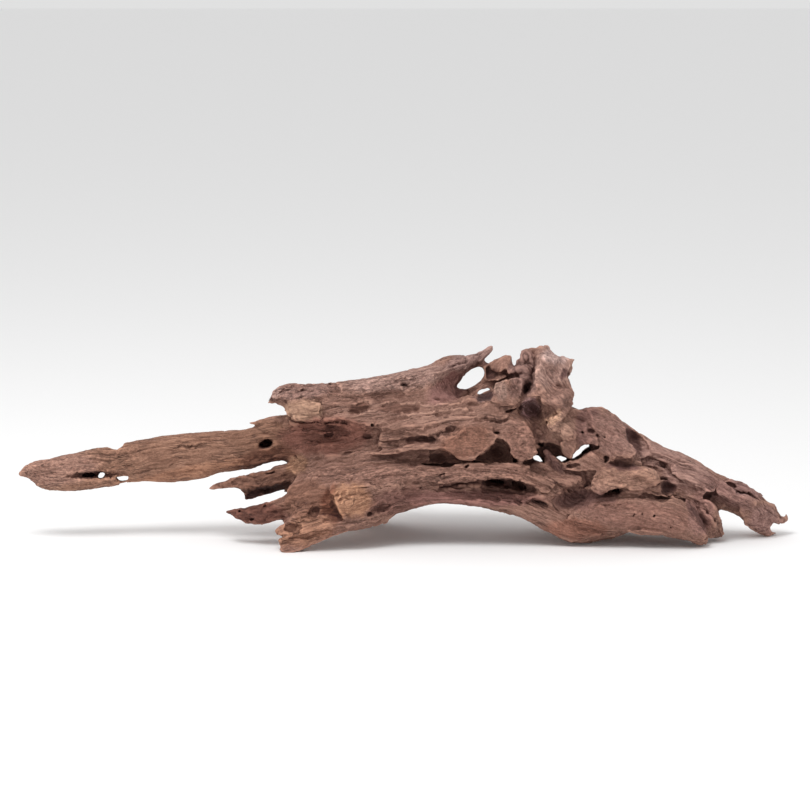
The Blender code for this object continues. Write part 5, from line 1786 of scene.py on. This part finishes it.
MAIN_TONE = (150, 114, 100)
TONE_AND_PAINTED_LIGHT_PATCHES = {
    # Middle, half-length, half-width and slope on the sheet, then the colour.
    # Some patches below are painted shade in hollows and under edges, and one is painted light in a pocket.
    "arm": (150,464,140,30,10,(152,114,95)),
    "arm_end": (58,470,42,16,8,(162,124,109)),
    "arm_gold": (190,474,70,8,12,(165,121,98)),
    "arm_root": (262,438,34,18,5,(140,104,86)),
    "arm_root_low": (270,456,30,8,8,(128,90,74)),
    "prong_high": (256,481,44,9,12,(124,90,76)),
    # Painted shade on the prong's underside.
    "prong_under": (266,491,28,4.6,14,(70,46,42)),
    "prong_low": (254,512,34,12,0,(110,74,64)),
    "lobe": (310,500,28,20,0,(138,100,84)),
    "lobe_red": (334,504,12,18,0,(122,80,64)),
    "foot": (305,530,30,14,14,(163,120,99)),
    "valley": (325,436,44,18,4,(146,101,88)),
    "frayed": (297,465,12,9,20,(166,126,102)),
    "lobe_right": (400,500,36,12,10,(132,96,86)),
    "top_block": (300,390,34,10,4,(142,110,100)),
    "top_end": (272,391,9,9,0,(168,136,126)),
    "top_strand": (400,378,60,12,8,(157,125,114)),
    "pale_flake": (303,410,20,11,4,(174,137,116)),
    "slab": (410,412,70,10,0,(163,126,111)),
    # Painted shade in the hollow under the top strand.
    "slab_hollow": (359,408,10,5,0,(120,86,74)),
    # Painted shade in the band under the ledge.
    "dish": (400,408.6,22,4.6,0,(124,90,78)),
    "bowl": (450,388,25,12,30,(157,116,108)),
    "over_window": (474,364,14,3.4,8,(96,68,62)),
    # Painted shade on the window's shaded inner wall.
    "window_wall": (491,374,7,6,0,(92,64,58)),
    "fin": (470,358,26,9,24,(152,122,114)),
    "tan_plate": (466,442,26,15,20,(143,103,87)),
    "waist": (430,474,110,9,0,(142,107,94)),
    "worn_flake": (352,499,20,17,-10,(176,131,105)),
    "arch": (470,498,70,8,0,(140,101,93)),
    "crown": (522,372,14,24,0,(134,104,96)),
    "burl": (552,368,20,24,0,(168,134,122)),
    "burl_fin": (556,356,14,9,0,(170,142,134)),
    "burl_side": (560,396,14,14,0,(146,112,100)),
    # Painted shade in the burl's dent, which the lamp reaches.
    "burl_dent": (563,373.6,6,4.2,50,(96,70,66)),
    # Painted light: a pale tone that lifts the shadow in the deep pocket.
    "pocket": (530,408,10,10,0,(240,194,190)),
    "comb_light": (500,390,6,10,0,(150,120,108)),
    "comb_brown": (513.6,390,6.6,8,0,(134,102,92)),
    # Painted shade on the lit back wall of the low oval hole.
    "low_oval": (484,396.6,10,4.6,10,(92,71,69)),
    "knuckle": (560,428,13,12,30,(162,126,110)),
    "knuckle_bright": (551,418,11,5,38,(188,148,124)),
    "neck": (588,428,14,24,0,(132,98,90)),
    "cave_post": (519,440,15,18,0,(141,105,92)),
    "crest_plate": (610,434,24,20,-40,(147,112,101)),
    "crest": (676,468,50,18,-30,(166,130,119)),
    "crest_end": (728,494,30,10,-30,(150,114,105)),
    # Painted shade in the bay.
    "bay": (584,500,30,10,0,(112,82,76)),
    "beak": (626,477,34,12,4,(162,124,107)),
    # Painted shade in the trough on the beak.
    "beak_trough": (622,466,16,3.6,-6,(118,86,80)),
    "block": (640,516,60,14,-6,(150,111,98)),
    "heel": (575,528,30,10,0,(150,106,90)),
    "root": (700,512,14,22,-10,(152,114,104)),
    "tip": (768,520,18,14,-20,(160,124,115)),
    "log": (746,488,20,8,-30,(140,108,102)),
    # Painted shade in the crest's pocket.
    "crest_pocket": (632,437,9,6,-50,(92,66,62)),
    # Painted shade in the beak's pocket.
    "beak_pocket": (667,487,8,7,0,(92,66,62)),
    "window_strand": (553,461,15,5,-50,(104,76,70)),
    "root_edge": (694,514,20,4,-60,(118,86,80)),
    # Painted shade on the shaded side of the crest plate.
    "plate_side": (635,446,10,4,-68,(116,86,80)),
}

set_attribute(wood, "edge", stand_out(wood, EDGE_PASSES))
sheet = to_sheet(points_of(wood))
set_attribute(wood, "grain", grain_of(sheet))
tone_and_painted_light = patched(sheet, MAIN_TONE, TONE_AND_PAINTED_LIGHT_PATCHES)
behind = facing_away(wood)
tone_and_painted_light = with_back(tone_and_painted_light, BACK_TONE_SHARE * behind[:, None], np.array(MAIN_TONE))
set_attribute(wood, "tone_and_painted_light", (tone_and_painted_light / 255) ** SRGB_POWER)
for name, start, patches, wanted in (
    ("streaky", 1.0, STREAK_PATCHES, BACK_STREAKS), ("grit", FRONT_GRIT, GRIT_PATCHES, BACK_GRIT),
):
    set_attribute(wood, name, with_back(patched(sheet, start, patches)[:, 0], behind, wanted))
openness = attribute_of(wood, "openness")
around = neighbours_of(wood)
for _ in range(2):
    openness = with_back(openness, behind, averaged(openness, around))
set_attribute(wood, "openness", with_back(openness, BACK_AIR * behind, 1.0))
for name in ("openness", "edge"):
    print(name, np.percentile(attribute_of(wood, name), (2, 25, 50, 75, 98)).round(3))

# %% [markdown]
# ## Weathered wood
# The patch's tone, with its painted shade and painted light, changes along the grain in streaks, is
# pale on raised edges, partly rubbed wear and partly painted highlight, and darker in creases and
# hollows as painted shade. The same grain numbers carry the shader's noise, so its streaks run with
# the carved furrows.

# %% Material
def mixed(tree, amount, first, second, blend="MIX"):
    node = add_node(tree, "ShaderNodeMix", {0: amount, 6: first, 7: second}, data_type="RGBA", blend_type=blend)
    return node.outputs[2]


PAINT_NOISE = {
    # Length and width in millimetres, seed, detail and roughness.
    "streaks": (60, 4.0, 5.0, 5.0, 0.65),
    "fibres": (15, 0.9, 8.0, 3.0, 0.65),
    "blots": (40, 18, 2.0, 4.0, 0.6),
    "specks": (1.8, 1.0, 4.0, 2.0, 0.6),
    "lines": (46, 5.0, 6.0, 2.0, 0.6),
    "lined": (30, 14, 9.0),
    "stains": (9, 6, 12.0, 5.0, 0.7),
    "flecks": (3.6, 1.9, 14.0, 3.0, 0.65),
}
FOLLOWS_BENDS = ("streaks", "fibres", "lines", "flecks")
DARK_SHARE = (0.42, 0.35, 0.34, 1)
PALE_SHARE = (1.42, 1.44, 1.46, 1)
# Raised edges are lightened, partly as rubbed wear and partly as painted highlight.
RUBBED_AND_HIGHLIT_SHARE = (1.15, 1.13, 1.1, 1)
CRACK_COLOUR = (70, 44, 40)
# The colour of the painted shade in hollows that few rays leave.
HOLLOW_SHADE_COLOUR = (84, 52, 48)


def paint_wood(material):
    material.use_nodes = True
    tree = material.node_tree
    tree.nodes.clear()

    def kept(name, output="Fac"):
        return add_node(tree, "ShaderNodeAttribute", attribute_name=name).outputs[output]

    def noise(name):
        return grain_noise(tree, bent if name in FOLLOWS_BENDS else grain, *PAINT_NOISE[name])

    grain, tone_and_painted_light = kept("grain", "Vector"), kept("tone_and_painted_light", "Color")
    openness, edge, streaky, grit = map(kept, ("openness", "edge", "streaky", "grit"))
    bent = bent_grain(tree, grain, BENDS)
    streaks, fibres, blots, specks, stains = map(noise, ("streaks", "fibres", "blots", "specks", "stains"))
    lines = times(tree, ridged(tree, noise("lines"), 0.03), ramp(tree, noise("lined"), 0.42, 0.6))
    lines = times(tree, lines, streaky)
    dark = mixed(tree, 1.0, tone_and_painted_light, DARK_SHARE, "MULTIPLY")
    pale = mixed(tree, 1.0, tone_and_painted_light, PALE_SHARE, "MULTIPLY")
    rubbed_and_highlit = mixed(tree, 1.0, pale, RUBBED_AND_HIGHLIT_SHARE, "MULTIPLY")
    smooth_share = maths(tree, "SUBTRACT", 1.0, streaky)

    def stain_and_shade(colour, paint, cause, *ends, only=1.0):
        """The colour with this paint on it, from where to where and how much, as the ramp has it. Some uses paint
        stains and wear, and others paint shade in creases and hollows.
        """
        return mixed(tree, times(tree, ramp(tree, cause, *ends), only), colour, paint)

    colour = mixed(tree, ramp(tree, blots, 0.36, 0.64), mixed(tree, 0.3, tone_and_painted_light, dark), mixed(tree, 0.5, tone_and_painted_light, pale))
    colour = stain_and_shade(colour, dark, streaks, 0.34, 0.58, 0.75, 0.0, only=streaky)
    colour = stain_and_shade(colour, dark, stains, 0.36, 0.54, 0.7, 0.0, only=smooth_share)
    colour = stain_and_shade(colour, dark, fibres, 0.34, 0.54, 0.65, 0.0, only=streaky)
    colour = stain_and_shade(colour, pale, fibres, 0.52, 0.7, 0.0, 0.65, only=streaky)
    colour = stain_and_shade(colour, pale, stains, 0.52, 0.72, 0.0, 0.45)
    colour = stain_and_shade(colour, pale, specks, 0.54, 0.7, 0.0, 0.6)
    colour = stain_and_shade(colour, dark, specks, 0.3, 0.45, 0.5, 0.0)
    colour = mixed(tree, times(tree, lines, 0.7), colour, linear(*CRACK_COLOUR))
    # Raised edges are lightened, partly as rubbed wear and partly as painted highlight.
    colour = stain_and_shade(colour, rubbed_and_highlit, edge, 0.2, 1.3, 0.0, 0.75)
    # Painted shade: points that lie below their surroundings, in creases, are darkened.
    colour = stain_and_shade(colour, dark, edge, -1.2, -0.1, 0.7, 0.0)
    flecks = maths(tree, "SUBTRACT", noise("flecks"), 0.5)
    gain = add_times(tree, flecks, times(tree, grit, 1.5), 1.0)
    colour = vector_maths(tree, "SCALE", colour, maths(tree, "MAXIMUM", gain, 0.35))
    # Painted shade: hollows where few rays get away are darkened towards this colour.
    colour = stain_and_shade(colour, linear(*HOLLOW_SHADE_COLOUR), openness, 0.15, 0.8, 0.7, 0.0)
    height = maths(tree, "ADD", times(tree, streaks, 0.7), times(tree, fibres, 0.6))
    for cause, amount in ((lines, -0.5), (specks, 0.3), (stains, 0.5)):
        height = add_times(tree, cause, amount, height)
    bump = add_node(tree, "ShaderNodeBump", {"Height": height, "Distance": 0.002, "Strength": 0.9})
    rough = ramp(tree, streaks, 0.3, 0.7, 0.92, 0.76)
    shader = add_node(
        tree, "ShaderNodeBsdfPrincipled",
        {"Base Color": colour, "Roughness": rough, "Normal": bump.outputs[0], "Specular IOR Level": 0.3},
    )
    add_node(tree, "ShaderNodeOutputMaterial", {"Surface": shader.outputs[0]})


paint_wood(wood_material)
print("wood material:", len(wood_material.node_tree.nodes), "nodes")

# %% [markdown]
# ## Body, floor, light and camera
# The piece rides on the one body and stands for the frame's node. The floor is plain and pale,
# the light comes from one large soft lamp above and in front and from a white surround, and the
# camera looks down by ten degrees from four metres away.

# %% Place the piece
wood.data.name = "driftwood_skin"
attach(wood, "root")
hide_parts("driftwood")

# %% Floor
FLOOR_SIDE = 14.0
FLOOR_GREY = 0.93
FLOOR_ROUGHNESS = 0.9
floor_mesh = bpy.data.meshes.new("floor")
half = FLOOR_SIDE / 2
floor_mesh.from_pydata(
    [(-half, -half, 0), (half, -half, 0), (half, half, 0), (-half, half, 0)], [], [(0, 1, 2, 3)]
)
floor = new_piece("floor", floor_mesh)
floor_paint = bpy.data.materials.new("pale_floor")
floor_paint.use_nodes = True
floor_shader = floor_paint.node_tree.nodes["Principled BSDF"]
floor_shader.inputs["Base Color"].default_value = (FLOOR_GREY, FLOOR_GREY, FLOOR_GREY, 1)
floor_shader.inputs["Roughness"].default_value = FLOOR_ROUGHNESS
floor_mesh.materials.append(floor_paint)

# %% Light
SURROUND_STRENGTH = 0.75
world = bpy.data.worlds.new("studio")
bpy.context.scene.world = world
world.use_nodes = True
surround = world.node_tree.nodes["Background"].inputs
surround["Color"].default_value = (1, 1, 1, 1)
surround["Strength"].default_value = SURROUND_STRENGTH


def soft_lamp(name, place, aim, side, power):
    data = bpy.data.lights.new(name, "AREA")
    data.shape = "SQUARE"
    data.size = side
    data.energy = power
    lamp = bpy.data.objects.new(name, data)
    lamp.location = place
    lamp.rotation_mode = "QUATERNION"
    lamp.rotation_quaternion = (Vector(aim) - Vector(place)).to_track_quat("-Z", "Y")
    bpy.context.scene.collection.objects.link(lamp)


soft_lamp("key", place=(-0.5, -0.9, 1.9), aim=(0, 0, 0.1), side=0.9, power=26)
bpy.context.scene.view_settings.view_transform = "Standard"

# %% Camera
CAMERA_DISTANCE = 4.0
PICTURE_WIDTH = 0.810
PICTURE_MIDDLE = (405, 405, 0)
SENSOR_WIDTH = 36
camera_data = bpy.data.cameras.new("camera")
camera_data.sensor_width = SENSOR_WIDTH
camera_data.lens = SENSOR_WIDTH * CAMERA_DISTANCE / PICTURE_WIDTH
camera = bpy.data.objects.new("camera", camera_data)
bpy.context.scene.collection.objects.link(camera)
aim = Vector(to_part([PICTURE_MIDDLE])[0])
camera.location = aim + Vector(TO_CAMERA) * CAMERA_DISTANCE
camera.rotation_mode = "QUATERNION"
camera.rotation_quaternion = (-Vector(TO_CAMERA)).to_track_quat("-Z", "Y")
bpy.context.scene.camera = camera
print("camera at", [round(v, 3) for v in camera.location])
